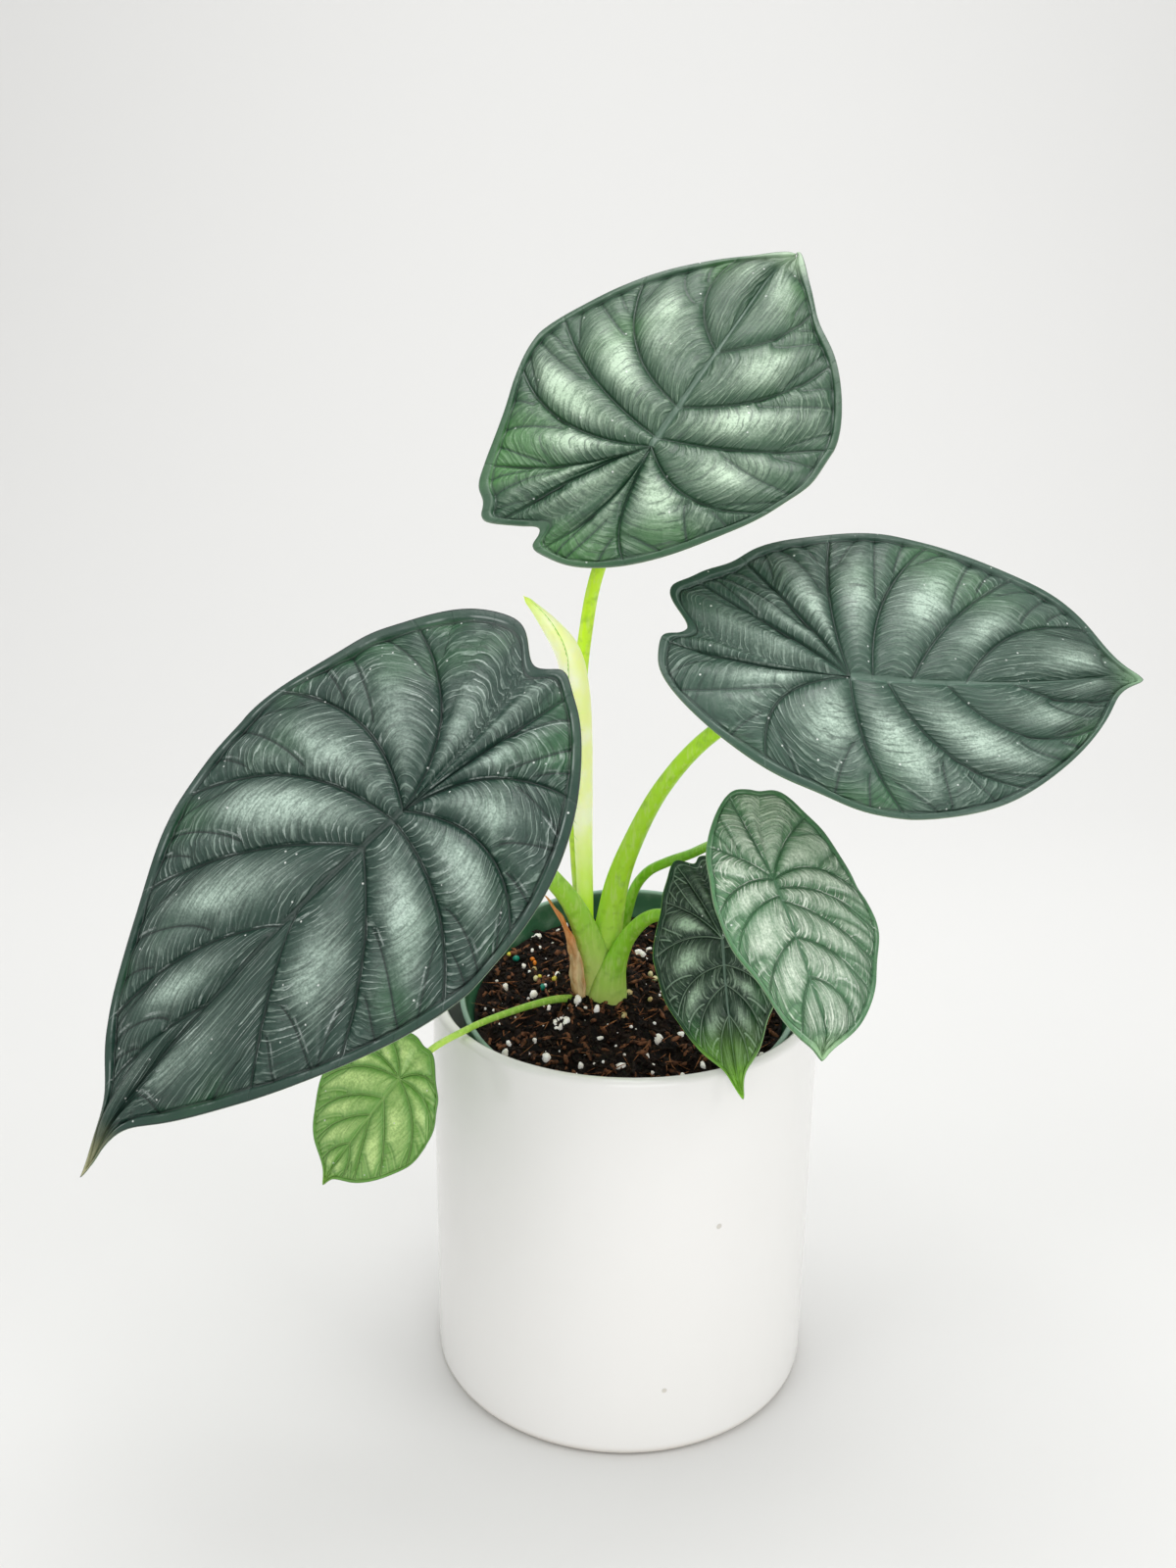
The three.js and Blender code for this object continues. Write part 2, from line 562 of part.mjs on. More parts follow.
plant.add(finish('cover_pot', coverPotGeometry(), 0xf1f1f0, 0.15));

// The nursery pot and its soil lean together towards the front
const leaning = new THREE.Group();
const leanAngle = THREE.MathUtils.degToRad(nurseryPot.leanDegrees);
const leanAxis = new THREE.Vector3(0, -Math.sin(leanAngle), Math.cos(leanAngle));
leaning.rotation.x = leanAngle;
leaning.position.copy(toVector(nurseryPot.rimCentre)).addScaledVector(leanAxis, -nurseryPot.height);
leaning.updateMatrixWorld(true);
leaning.add(finish('nursery_pot', nurseryPotGeometry(), 0x4f7f66, 0.45));
plant.add(leaning);

// Leaves, each placed by its own frame
const leafByName = new Map(leaves.map((leaf) => [leaf.name, leaf]));
for (const leaf of leaves) {
  const mesh = finish(leaf.name, bladeGeometry(leaf), leaf.color, 0.4);
  leafMatrix(leaf).decompose(mesh.position, mesh.quaternion, mesh.scale);
  plant.add(mesh);
}

// Each stalk ends inside its blade's thickness, where it is cut to stand off the underside
for (const stalk of stalks) {
  if (!stalk.leaf) continue;
  const matrix = leafMatrix(leafByName.get(stalk.leaf));
  stalk.through.push(new THREE.Vector3(0, 0, -0.5 * blade.thickness).applyMatrix4(matrix).toArray());
}

// Stalks grow from the crown and round each other: each is cut clear of those before it
const crownMesh = finish('crown', crownGeometry(), 0x8c8a52, 0.7);
plant.add(crownMesh);
const taken = [crownGeometry(seatGap)];
for (const stalk of stalks) {
  const tools = [...taken];
  if (stalk.leaf) {
    const leaf = leafByName.get(stalk.leaf);
    const grown = bladeGeometry(leaf, blade.cutHeight, blade.thickness + seatGap);
    tools.push(grown.applyMatrix4(leafMatrix(leaf)));
  }
  plant.add(finish(stalk.name, cutAway(stalkGeometry(stalk), tools), stalk.color, 0.45));
  taken.push(stalkGeometry(stalk, seatGap));
}
plant.add(finish('dry_sheath', cutAway(drySheathGeometry(), taken), 0xa5743c, 0.8));
taken.push(drySheathGeometry(seatGap));

// The soil is cut by plain holes for the crown and the stalks that stand in it
const toPotFrame = leaning.matrixWorld.clone().invert();
const stems = taken.map((geometry) => geometry.clone().applyMatrix4(toPotFrame));
leaning.add(finish('soil', cutAway(soilGeometry(), stems), 0x2e211a, 0.95));

export default plant;
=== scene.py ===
import math
import bpy
import numpy as np
from mathutils import Matrix


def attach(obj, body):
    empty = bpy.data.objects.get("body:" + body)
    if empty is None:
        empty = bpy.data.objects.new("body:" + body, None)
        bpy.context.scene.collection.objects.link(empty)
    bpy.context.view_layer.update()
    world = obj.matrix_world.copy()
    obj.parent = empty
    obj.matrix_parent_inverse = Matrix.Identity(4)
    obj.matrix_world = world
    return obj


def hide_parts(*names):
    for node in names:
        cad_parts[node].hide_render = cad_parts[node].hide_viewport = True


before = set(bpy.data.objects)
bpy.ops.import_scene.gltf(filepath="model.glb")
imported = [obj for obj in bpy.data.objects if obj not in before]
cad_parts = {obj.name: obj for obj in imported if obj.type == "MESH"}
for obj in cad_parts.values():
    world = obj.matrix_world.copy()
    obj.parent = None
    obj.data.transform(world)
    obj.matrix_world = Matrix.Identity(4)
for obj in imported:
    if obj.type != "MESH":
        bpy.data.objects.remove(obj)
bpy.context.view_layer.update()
print("packed frame loaded")

mm = 0.001


# Shapes: everything is worked out in millimetres and made metres in addPiece

def softStep(low, high, value):
    # 0 below low, 1 above high, with a soft start and end
    share = np.clip((value - low) / (high - low), 0, 1)
    return share * share * (3 - 2 * share)


def unit(vectors):
    # each vector divided by its length
    return vectors / np.maximum(np.linalg.norm(vectors, axis=-1, keepdims=True), 1e-12)


def circle(count):
    # angles at even steps round a circle
    return np.linspace(0, 2 * np.pi, count, endpoint=False)


def withEnds(rows):
    # the first and the last row once more, for the caps of a tube
    return np.concatenate([rows[:1], rows, rows[-1:]])


def lineLength(points):
    # way along a line of points, from 0
    return np.concatenate([[0], np.cumsum(np.linalg.norm(np.diff(points, axis=0), axis=1))])


def gridFaces(rows, columns, wrap=False):
    # two triangles for each cell of a grid of points, row by row; wrap joins the last column to the first
    i, j = np.meshgrid(np.arange(rows - 1), np.arange(columns if wrap else columns - 1), indexing="ij")
    a = (i * columns + j).ravel()
    b = (i * columns + (j + 1) % columns).ravel()
    c, d = b + columns, a + columns
    return np.concatenate([np.stack([a, b, c], 1), np.stack([a, c, d], 1)])


def valueNoise(x, y, seed, size=64):
    # a lattice of seeded numbers, blended softly between its points
    lattice = np.random.default_rng(seed).random((size, size))
    xi, yi = np.floor(x).astype(int), np.floor(y).astype(int)
    tx, ty = softStep(0, 1, x - xi), softStep(0, 1, y - yi)
    pick = lambda i, j: lattice[i % size, j % size]
    low = pick(xi, yi) * (1 - tx) + pick(xi + 1, yi) * tx
    high = pick(xi, yi + 1) * (1 - tx) + pick(xi + 1, yi + 1) * tx
    return low * (1 - ty) + high * ty


def weld(points, faces):
    # points at the same place become one; faces that lose a corner go, and so do two faces back to back
    keys = np.round(points / 0.002).astype(np.int64)
    _, first, same = np.unique(keys, axis=0, return_index=True, return_inverse=True)
    same = same.ravel()
    joined = same[faces]
    kept = (joined[:, 0] != joined[:, 1]) & (joined[:, 1] != joined[:, 2]) & (joined[:, 2] != joined[:, 0])
    joined, faces = joined[kept], faces[kept]
    _, which, count = np.unique(np.sort(joined, axis=1), axis=0, return_inverse=True, return_counts=True)
    kept = count[which.ravel()] == 1
    return points[first], joined[kept], faces[kept]


def linked(name, data):
    # a new object in the scene
    thing = bpy.data.objects.new(name, data)
    bpy.context.scene.collection.objects.link(thing)
    return thing


def addPiece(name, points, faces, material, replaced=(), maps=None):
    # one closed mesh from points and triangles, turned outwards; maps are UV maps given at the points
    places, joined, corners = weld(points, faces)
    a, b, c = (places[joined[:, k]] for k in range(3))
    if np.einsum("ij,ij->i", a, np.cross(b, c)).sum() < 0:
        joined, corners = joined[:, ::-1], corners[:, ::-1]
    mesh = bpy.data.meshes.new(name)
    mesh.from_pydata((places * mm).tolist(), [], joined.tolist())
    for mapName, values in (maps or {}).items():
        layer = mesh.uv_layers.new(name=mapName)
        layer.data.foreach_set("uv", values[corners.ravel()].astype(np.float32).ravel())
    mesh.polygons.foreach_set("use_smooth", np.full(len(joined), True))
    mesh.materials.append(material)
    mesh.update()
    piece = linked(name, mesh)
    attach(piece, "root")
    if replaced:
        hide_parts(*replaced)
    print("made", name, len(joined), "triangles")
    return piece


# Materials

def rgb(red, green, blue):
    # a colour as a screen shows it, 0 to 255, made linear
    share = np.array([red, green, blue]) / 255
    linear = np.where(share <= 0.04045, share / 12.92, ((share + 0.055) / 1.055) ** 2.4)
    return (*linear.tolist(), 1.0)


class Tree:
    # short ways to add and join shader nodes in one tree
    def __init__(self, tree):
        self.tree = tree

    def add(self, kind, inputs=None, **settings):
        node = self.tree.nodes.new(kind)
        for key, value in settings.items():
            setattr(node, key, value)
        for key, value in (inputs or {}).items():
            self.put(node.inputs[key], value)
        return node

    def put(self, socket, value):
        if isinstance(value, bpy.types.NodeSocket):
            self.tree.links.new(value, socket)
        else:
            socket.default_value = value

    def math(self, operation, *values):
        # one operation on one value, or through several values in turn
        if len(values) == 1:
            return self.add("ShaderNodeMath", {0: values[0]}, operation=operation).outputs[0]
        result = values[0]
        for value in values[1:]:
            result = self.add("ShaderNodeMath", {0: result, 1: value}, operation=operation).outputs[0]
        return result

    def times(self, *values):
        return self.math("MULTIPLY", *values)

    def plus(self, *values):
        return self.math("ADD", *values)

    def minus(self, a, b):
        return self.math("SUBTRACT", a, b)

    def over(self, a, b):
        return self.math("DIVIDE", a, b)

    def most(self, *values):
        return self.math("MAXIMUM", *values)

    def least(self, *values):
        return self.math("MINIMUM", *values)

    def between(self, value, low, high, start=0.0, end=1.0):
        inputs = {"Value": value, "From Min": low, "From Max": high, "To Min": start, "To Max": end}
        node = self.add("ShaderNodeMapRange", inputs, interpolation_type="SMOOTHSTEP")
        return node.outputs["Result"]

    def mix(self, factor, a, b):
        node = self.add("ShaderNodeMix", data_type="RGBA")
        for place, value in ((0, factor), (6, a), (7, b)):
            self.put(node.inputs[place], value)
        return node.outputs[2]

    def layered(self, color, *layers):
        # layers of (share, colour), each laid over what is below it
        for share, tone in layers:
            color = self.mix(share, color, tone)
        return color

    def noise(self, vector, scale, detail=2.0, roughness=0.5):
        inputs = {"Vector": vector, "Scale": scale, "Detail": detail, "Roughness": roughness}
        return self.add("ShaderNodeTexNoise", inputs).outputs["Fac"]

    def stretched(self, vector, scale):
        return self.add("ShaderNodeMapping", {"Vector": vector, "Scale": scale}).outputs[0]

    def object(self):
        return self.add("ShaderNodeTexCoord").outputs["Object"]

    def upright(self, place):
        return self.add("ShaderNodeSeparateXYZ", {0: place}).outputs[2]

    def spots(self, place, scale, wide, narrow, rare):
        # dots in a few of a Voronoi texture's cells: those whose random red is above rare
        cells = self.add("ShaderNodeTexVoronoi", {"Vector": place, "Scale": scale})
        chosen = self.add("ShaderNodeSeparateColor", {0: cells.outputs["Color"]}).outputs[0]
        return self.times(self.between(cells.outputs["Distance"], wide, narrow), self.between(chosen, *rare))

    def map(self, name):
        uv = self.add("ShaderNodeUVMap", uv_map=name).outputs[0]
        split = self.add("ShaderNodeSeparateXYZ", {0: uv})
        return split.outputs[0], split.outputs[1]

    def give(self, sockets, color, roughness, height):
        # the three values that every skin gives
        self.put(sockets["Color"], color)
        self.put(sockets["Roughness"], roughness)
        self.put(sockets["Height"], height)


skinOutputs = {"Color": "NodeSocketColor", "Roughness": "NodeSocketFloat", "Height": "NodeSocketFloat"}


def makeGroup(name, inputs):
    # a shader group with named inputs, given as name: default, that gives a colour, a roughness and a height
    group = bpy.data.node_groups.new(name, "ShaderNodeTree")
    for key, value in inputs.items():
        kind = "NodeSocketColor" if isinstance(value, tuple) else "NodeSocketFloat"
        socket = group.interface.new_socket(name=key, in_out="INPUT", socket_type=kind)
        socket.default_value = value
    for key, kind in skinOutputs.items():
        group.interface.new_socket(name=key, in_out="OUTPUT", socket_type=kind)
    tree = Tree(group)
    return group, tree, tree.add("NodeGroupInput").outputs, tree.add("NodeGroupOutput").inputs


def newMaterial(name, constants):
    # a Principled material; constants go on the shader's own sockets
    material = bpy.data.materials.new(name)
    material.use_nodes = True
    tree = Tree(material.node_tree)
    shader = material.node_tree.nodes["Principled BSDF"]
    for key, value in constants.items():
        shader.inputs[key].default_value = value
    return material, tree, shader


def skinMaterial(name, group, values, constants, relief=1.0, through=0.0):
    # a material whose colour, roughness and height come from one group; through: strength of a painted glow,
    # the skin's own colour given off as light
    material, tree, shader = newMaterial(name, constants)
    node = tree.add("ShaderNodeGroup", node_tree=group)
    for key, value in values.items():
        node.inputs[key].default_value = value
    tree.put(shader.inputs["Base Color"], node.outputs["Color"])
    tree.put(shader.inputs["Roughness"], node.outputs["Roughness"])
    if through:
        tree.put(shader.inputs["Emission Color"], node.outputs["Color"])
        shader.inputs["Emission Strength"].default_value = through
    bumpInputs = {"Strength": 1.0, "Distance": relief * mm, "Height": node.outputs["Height"]}
    bump = tree.add("ShaderNodeBump", bumpInputs)
    tree.put(shader.inputs["Normal"], bump.outputs[0])
    return material


# Leaves

blade = {
    # outline
    "panels": 7, "spineReach": 0.95, "marginSamples": 400, "baseFullness": 1.2, "notchWidth": 0.13,
    "pointWidth": 0.16, "taper": 0.35, "taperWidth": 0.3, "lobeFromNotch": 0.5, "lobeWidth": 0.3,
    # bend of the whole blade
    "droopTip": -0.12, "droopBase": -0.06, "cup": -0.05, "hookReach": 0.1,
    # rows and columns of points; the rim starts at rimShare of the way out
    "crowding": 0.5, "rimShare": 0.85, "widestRim": 0.25, "rimColumns": 12, "underRimColumns": 5,
    "underCoarser": 3, "leastSlant": 0.15,
    # pillows between the veins
    "fullQuilt": 2.3, "dome": 0.62, "domeFall": 3.1, "domePower": 1.3, "bulge": 0.42,
    "bulgeWithin": (0.3, 0.62), "ridgeSharpness": 0.7, "gapGrowth": 0.7, "midribGap": 1.4, "closing": 0.45,
    "hubDip": 0.25, "rimRound": 0.12, "grain": 0.5, "grainSize": 9, "rimGrain": 0.6, "underGrain": 0.5,
    # veins, midrib and rim line of the upper face
    "veinDepth": 0.4, "veinWidth": 1.1, "veinTaper": 0.5, "veinEnd": (0.84, 0.87), "midribDepth": 0.35,
    "midribWidth": 1.5, "midribStart": (0, 6), "hubWidth": 1.6, "rimDepth": 0.35, "rimLine": 0.03,
    # lower face
    "thickness": 0.9, "edgeThickness": 0.55, "thinFrom": 0.9, "underVein": 0.7, "underVeinEnd": (0.7, 0.95),
    "underMidrib": 1.2, "underMidribEnd": (0.2, 0.95), "underFold": 1.15,
    # smaller veins; folds: from the far vein or the near one, range of how far out it starts, range of how
    # far over the panel it ends, and depth
    "foldDepth": 0.5, "foldDip": 0.9, "foldWidth": 1.1, "foldReach": 3.6, "foldArch": 0.6,
    "foldPanelWidth": (5, 10), "foldFade": (0.06, 0.03), "foldClosing": (1, 0.4),
    "folds": [(0, (0.3, 0.5), (0.45, 0.65), 1.0), (0, (0.55, 0.66), (0.22, 0.32), 0.8),
              (1, (0.5, 0.68), (0.2, 0.3), 0.8)],
    # silvery patch of each panel, partly the leaf's own silver and partly a painted highlight on the pillow:
    # its level, and ranges of its place, its spread and a change of level
    "glowLevels": [0.55, 0.8, 1.0, 1.0, 1.0, 0.85, 0.45], "glowPart": 0.28, "glowMiddle": (0.42, 0.58),
    "glowCentre": (0.4, 0.52), "glowSpread": (0.18, 0.26), "glowVary": (0.85, 1.1),
    # greatest gaps, in mm
    "far": 50, "mapLimit": 20, "foldLimit": 9,
}

# trims: side, angle round the margin, spread and amount. veins, from the tip to the notch: share of the
# margin's length at which one ends, place on the midrib at which it starts, and its bow
leaves = {
    "leaf_large_left": {
        "slot": "leaf_large",
        "trims": [(1, 0.65, 0.25, -1.4), (1, 2.85, 0.12, -1.2), (-1, 1.5, 0.15, -1.0),
                  (-1, 1.05, 0.15, 0.8), (-1, 2.2, 0.12, 0.9)],
        "rows": 24, "columns": 84, "quilt": 2.3, "rim": 3.0, "wave": 0.8, "seed": 11,
        "stalkTop": (-58, -65.4, 204.6), "tipWay": (-0.73, -0.29, -0.62), "faceWay": (-0.21, -0.77, 0.6),
        "widest": 16, "ahead": 94, "behind": 74.5, "left": 48.5, "right": 57,
        "tipFullness": 1.4, "sideFullness": 1.47, "point": 15, "notch": 7.8,
        "sway": 0.04, "baseSway": -0.18, "tipHook": 3, "lobeLeft": -1.5, "lobeRight": 2.7,
        "veinsLeft": [[0.26, 37, -0.05], [0.378, 13.6, 0.14], [0.514, 3.6, 0.23],
                      [0.62, 0, 0.45], [0.8, 0, 0.32], [0.925, 0, 0.08]],
        "veinsRight": [[0.09, 70, 0.1], [0.16, 42.4, 0.2], [0.308, 13.6, 0.14],
                       [0.426, 3.6, 0.28], [0.592, 0, 0.33], [0.788, 0, 0.35]],
        "skin": {"Dark": rgb(32, 60, 50), "Bright": rgb(176, 198, 184), "Vein": rgb(16, 30, 27),
                 "Midrib": rgb(30, 50, 43), "Rim": rgb(40, 66, 54), "Tip": rgb(160, 160, 122),
                 "Tip Start": 0.85, "Edge": rgb(30, 46, 42), "Glint Tone": rgb(206, 216, 212),
                 "Tint": rgb(52, 112, 60), "Tint Share": 0.5, "Rib Spacing": 1.75, "Streaks": 0.75,
                 "Rib Dark": 0.4, "Rib Share": 0.34, "Glow Share": 0.8, "Vein Width": 0.26,
                 "Shade": 0.2},
    },
    "leaf_top": {
        "slot": "leaf_top",
        "trims": [(1, 2.78, 0.13, -1.8), (1, 0.15, 0.2, -1.2), (-1, 0.82, 0.15, -1.7),
                  (-1, 1.84, 0.13, 1.3), (-1, 2.28, 0.15, -1.2)],
        "rows": 24, "columns": 76, "quilt": 1.9, "rim": 2.4, "wave": 0.6, "seed": 12,
        "stalkTop": (4, -13, 292.7), "tipWay": (0.5, 0.53, 0.69), "faceWay": (-0.13, -0.74, 0.66),
        "widest": 22, "ahead": 65.5, "behind": 64.5, "left": 51.5, "right": 44,
        "tipFullness": 1.3, "sideFullness": 2.15, "point": -1.8, "notch": 7.4,
        "sway": 0.06, "baseSway": 0.52, "tipHook": -3, "lobeLeft": -2.1, "lobeRight": 15.1,
        "veinsLeft": [[0.082, 37, 0.36], [0.26, 14.8, 0.3], [0.421, 3.2, 0.16],
                      [0.548, 0, 0.32], [0.77, 0, 0.18], [0.95, 0, -0.3]],
        "veinsRight": [[0.161, 37, 0.26], [0.285, 14.8, 0.25], [0.462, 3.2, 0.13],
                       [0.621, 0, 0.4], [0.814, 0, 0.26], [0.93, 0, 0.05]],
        "skin": {"Dark": rgb(40, 76, 52), "Bright": rgb(182, 206, 180), "Vein": rgb(32, 56, 44),
                 "Midrib": rgb(78, 104, 88), "Rim": rgb(48, 84, 58), "Tip": rgb(165, 190, 160),
                 "Edge": rgb(56, 84, 62), "Glint Tone": rgb(196, 216, 194),
                 "Tint": rgb(84, 142, 72), "Tint Share": 0.6, "Rib Spacing": 1.9, "Streaks": 0.3,
                 "Glow Low": 0.1, "Glow Share": 0.92, "Rib Share": 0.2, "Rib Dark": 0.6,
                 "Vein Width": 0.28, "Shade": 0.15},
    },
    "leaf_right": {
        "slot": "leaf_right",
        "trims": [(1, 0.92, 0.2, -1.3), (1, 2.82, 0.1, -1.2), (-1, 2.02, 0.15, -1.4),
                  (-1, 1.1, 0.2, 0.6)],
        "rows": 24, "columns": 76, "quilt": 1.9, "rim": 2.4, "wave": 0.6, "seed": 13,
        "stalkTop": (58.2, -37, 235.4), "tipWay": (0.99, 0.09, -0.1), "faceWay": (0.14, -0.66, 0.74),
        "widest": 14, "ahead": 68.5, "behind": 65.5, "left": 53, "right": 42,
        "tipFullness": 1.2, "sideFullness": 1.25, "point": 7.5, "notch": 8,
        "sway": 0.21, "baseSway": 0.35, "tipHook": -2.7, "lobeLeft": -13, "lobeRight": 17.2,
        "veinsLeft": [[0.114, 32.6, 0.42], [0.286, 17, 0.18], [0.439, 6.3, 0.22],
                      [0.603, 0, 0.12], [0.773, 0, -0.07], [0.887, 0, -0.12]],
        "veinsRight": [[0.07, 46.6, 0.2], [0.127, 26.8, 0.39], [0.292, 10, 0.29],
                       [0.499, 0, 0.16], [0.704, 0, 0.45], [0.935, 0, 0.05]],
        "skin": {"Dark": rgb(48, 77, 63), "Bright": rgb(180, 202, 186), "Vein": rgb(30, 48, 42),
                 "Midrib": rgb(84, 110, 96), "Rim": rgb(48, 76, 62), "Tip": rgb(126, 160, 126),
                 "Edge": rgb(58, 84, 66), "Glint Tone": rgb(196, 212, 202),
                 "Tint": rgb(62, 116, 64), "Tint Share": 0.5, "Rib Spacing": 1.7, "Streaks": 0.45,
                 "Rib Share": 0.26, "Rib Dark": 0.5, "Vein Width": 0.28, "Shade": 0.18},
    },
    "leaf_small_dark": {
        "slot": "leaf_dark",
        "trims": [(1, 0.75, 0.15, -0.8), (-1, 1.0, 0.2, 1.1), (-1, 2.15, 0.2, -0.8)],
        "rows": 14, "columns": 52, "quilt": 1.0, "rim": 1.3, "wave": 0.4, "seed": 14,
        "stalkTop": (26.8, -40.7, 160.5), "tipWay": (0.05, -0.51, -0.86), "faceWay": (-0.4, -0.8, 0.45),
        "widest": 4, "ahead": 33, "behind": 29, "left": 17.5, "right": 21.5,
        "tipFullness": 1.65, "sideFullness": 1.1, "point": 6.8, "notch": 2.6,
        "sway": 0.02, "baseSway": -0.4, "tipHook": 0.5, "lobeLeft": 4.8, "lobeRight": -3.2,
        "veinsLeft": [[0.115, 20.9, 0.23], [0.224, 12.6, 0.26], [0.34, 7.2, 0.3],
                      [0.45, 2.5, 0.4], [0.66, 0, 0.3], [0.85, 0, 0.17]],
        "veinsRight": [[0.1, 20.9, 0.17], [0.19, 12.6, 0.3], [0.32, 7.2, 0.35],
                       [0.541, 0, 0.27], [0.75, 0, 0.15], [0.93, 0, -0.1]],
        "skin": {"Dark": rgb(12, 48, 28), "Bright": rgb(180, 208, 180), "Vein": rgb(146, 172, 148),
                 "Midrib": rgb(104, 130, 114), "Rim": rgb(34, 84, 46), "Tip": rgb(128, 190, 48),
                 "Tip Start": 0.52, "Edge": rgb(118, 172, 76), "Glint Tone": rgb(190, 206, 190),
                 "Tint": rgb(52, 122, 58), "Tint Share": 0.6, "Rib Spacing": 1.3, "Glow Share": 0.8,
                 "Rib Share": 0.45, "Rib Dark": 0.0, "Vein Width": 0.22, "Shade": 0.0,
                 "Streaks": 0.3, "Midrib Width": 0.6},
    },
    "leaf_small_pale": {
        "slot": "leaf_pale",
        "trims": [(1, 1.22, 0.2, 1.2), (1, 1.7, 0.12, -0.8), (-1, 0.95, 0.2, -0.8),
                  (-1, 1.9, 0.15, -0.7)],
        "rows": 14, "columns": 56, "quilt": 0.9, "rim": 1.5, "wave": 0.5, "seed": 15,
        "stalkTop": (38.9, -54.1, 183.8), "tipWay": (0.33, -0.68, -0.66), "faceWay": (0.39, -0.54, 0.75),
        "widest": 7, "ahead": 40.5, "behind": 36.5, "left": 28.5, "right": 21,
        "tipFullness": 1.2, "sideFullness": 1.15, "point": 1.6, "notch": 1.1,
        "sway": 0.02, "baseSway": 0.32, "tipHook": -3.7, "lobeLeft": -4.8, "lobeRight": 9,
        "veinsLeft": [[0.108, 28, 0.4], [0.22, 17, 0.26], [0.32, 6.6, 0.16],
                      [0.41, 2.8, 0.3], [0.52, 0, 0.4], [0.81, 0, 0.1]],
        "veinsRight": [[0.1, 28, 0.15], [0.234, 17, 0.2], [0.368, 5.1, 0.28],
                       [0.484, 0, 0.28], [0.704, 0, 0.1], [0.884, 0, 0.1]],
        "skin": {"Dark": rgb(76, 122, 84), "Bright": rgb(228, 240, 222), "Vein": rgb(66, 94, 74),
                 "Midrib": rgb(96, 124, 106), "Rim": rgb(92, 140, 96), "Tip": rgb(150, 186, 140),
                 "Edge": rgb(84, 134, 84), "Glint Tone": rgb(232, 240, 228),
                 "Tint": rgb(104, 156, 100), "Rib Spacing": 1.3, "Glow Low": 0.38, "Glow Share": 0.3,
                 "Rib Share": 0.68, "Rib Dark": 0.25, "Rib Strength": 1.2, "Vein Width": 0.22,
                 "Vein Strength": 0.32, "Shade": 0.0, "Streaks": 0.9, "Midrib Width": 0.6},
    },
    "leaf_young_low": {
        "slot": "leaf_young",
        "trims": [(1, 1.35, 0.2, 0.8), (1, 2.15, 0.2, -1.0), (-1, 1.0, 0.2, -0.3)],
        "rows": 14, "columns": 48, "quilt": 0.7, "rim": 1.0, "wave": 0.3, "seed": 16,
        "stalkTop": (-63.4, -50.8, 119.8), "tipWay": (-0.62, -0.19, -0.76), "faceWay": (-0.26, -0.87, 0.43),
        "widest": 9, "ahead": 27, "behind": 21.5, "left": 18, "right": 20,
        "tipFullness": 1, "sideFullness": 1.3, "point": 3.7, "notch": 1,
        "sway": 0.01, "baseSway": -0.07, "tipHook": 0.5, "lobeLeft": -4.8, "lobeRight": 0.4,
        "veinsLeft": [[0.105, 24, 0.2], [0.17, 13.3, 0], [0.3, 7.2, 0.08],
                      [0.431, 0, 0.26], [0.622, 0, 0.34], [0.817, 0, 0.38]],
        "veinsRight": [[0.096, 24, 0.2], [0.18, 13.3, 0.2], [0.29, 7.2, 0.24],
                       [0.425, 0, 0.3], [0.6, 0, 0.3], [0.8, 0, 0.2]],
        "skin": {"Dark": rgb(98, 152, 60), "Bright": rgb(206, 234, 152), "Vein": rgb(176, 208, 130),
                 "Midrib": rgb(172, 206, 124), "Rim": rgb(112, 160, 72), "Tip": rgb(130, 178, 70),
                 "Edge": rgb(78, 126, 54), "Glint Tone": rgb(196, 220, 160),
                 "Tint": rgb(88, 146, 54), "Tint Share": 0.5, "Rib Spacing": 2.0, "Rib Strength": 0.4,
                 "Glow Low": 0.4, "Glow Share": 0.6, "Vein Width": 0.28, "Vein Strength": 0.4, "Shade": 0.0,
                 "Streaks": 0.2, "Midrib Width": 0.6},
    },
}


def leafSize(leaf):
    # 1 for the largest leaf: the width of the veins and folds follows it
    return leaf["quilt"] / blade["fullQuilt"]


def leafAxes(leaf):
    # the way to the tip, the way to the left and the way out of the upper face
    tip = unit(np.array(leaf["tipWay"], float))
    face = np.array(leaf["faceWay"], float)
    face = unit(face - face.dot(tip) * tip)
    return np.stack([tip, np.cross(face, tip), face])


def hill(value, spread):
    # 1 at 0, falling off softly over the spread
    return np.exp(-((value / spread) ** 2))


def marginPoint(leaf, turn, side):
    # superellipse from the tip (turn 0) to the notch (turn pi), with a point, a notch and lobes
    c, s = np.cos(turn), np.sin(turn)
    front = c > 0
    reach = np.where(front, leaf["ahead"], leaf["behind"])
    fullness = np.where(front, leaf["tipFullness"], blade["baseFullness"])
    u = leaf["widest"] + reach * np.sign(c) * np.abs(c) ** fullness
    swell = np.zeros_like(turn)
    u = u + leaf["point"] * hill(turn, blade["pointWidth"])
    u = u + leaf["notch"] * hill(np.pi - turn, blade["notchWidth"])
    lobe = leaf["lobeLeft"] if side > 0 else leaf["lobeRight"]
    u = u - lobe * s * hill(np.pi - turn - blade["lobeFromNotch"], blade["lobeWidth"])
    for way, at, spread, amount in leaf["trims"]:
        if way == side:
            bump = amount * hill(turn - at, spread)
            u, swell = u + bump * c, swell + bump * s
    width = leaf["left"] if side > 0 else leaf["right"]
    taper = 1 - blade["taper"] * hill(turn, blade["taperWidth"])
    bell = np.abs(s) ** np.where(front, leaf["sideFullness"], 1)
    return np.stack([u, side * (width * bell * taper + swell)], -1)


def marginAt(leaf, side, share):
    # margin point at a share of the margin's length, from the tip
    turns = np.linspace(0, np.pi, blade["marginSamples"] + 1)
    line = marginPoint(leaf, turns, side)
    length = lineLength(line)
    return marginPoint(leaf, np.interp(share * length[-1], length, turns), side)


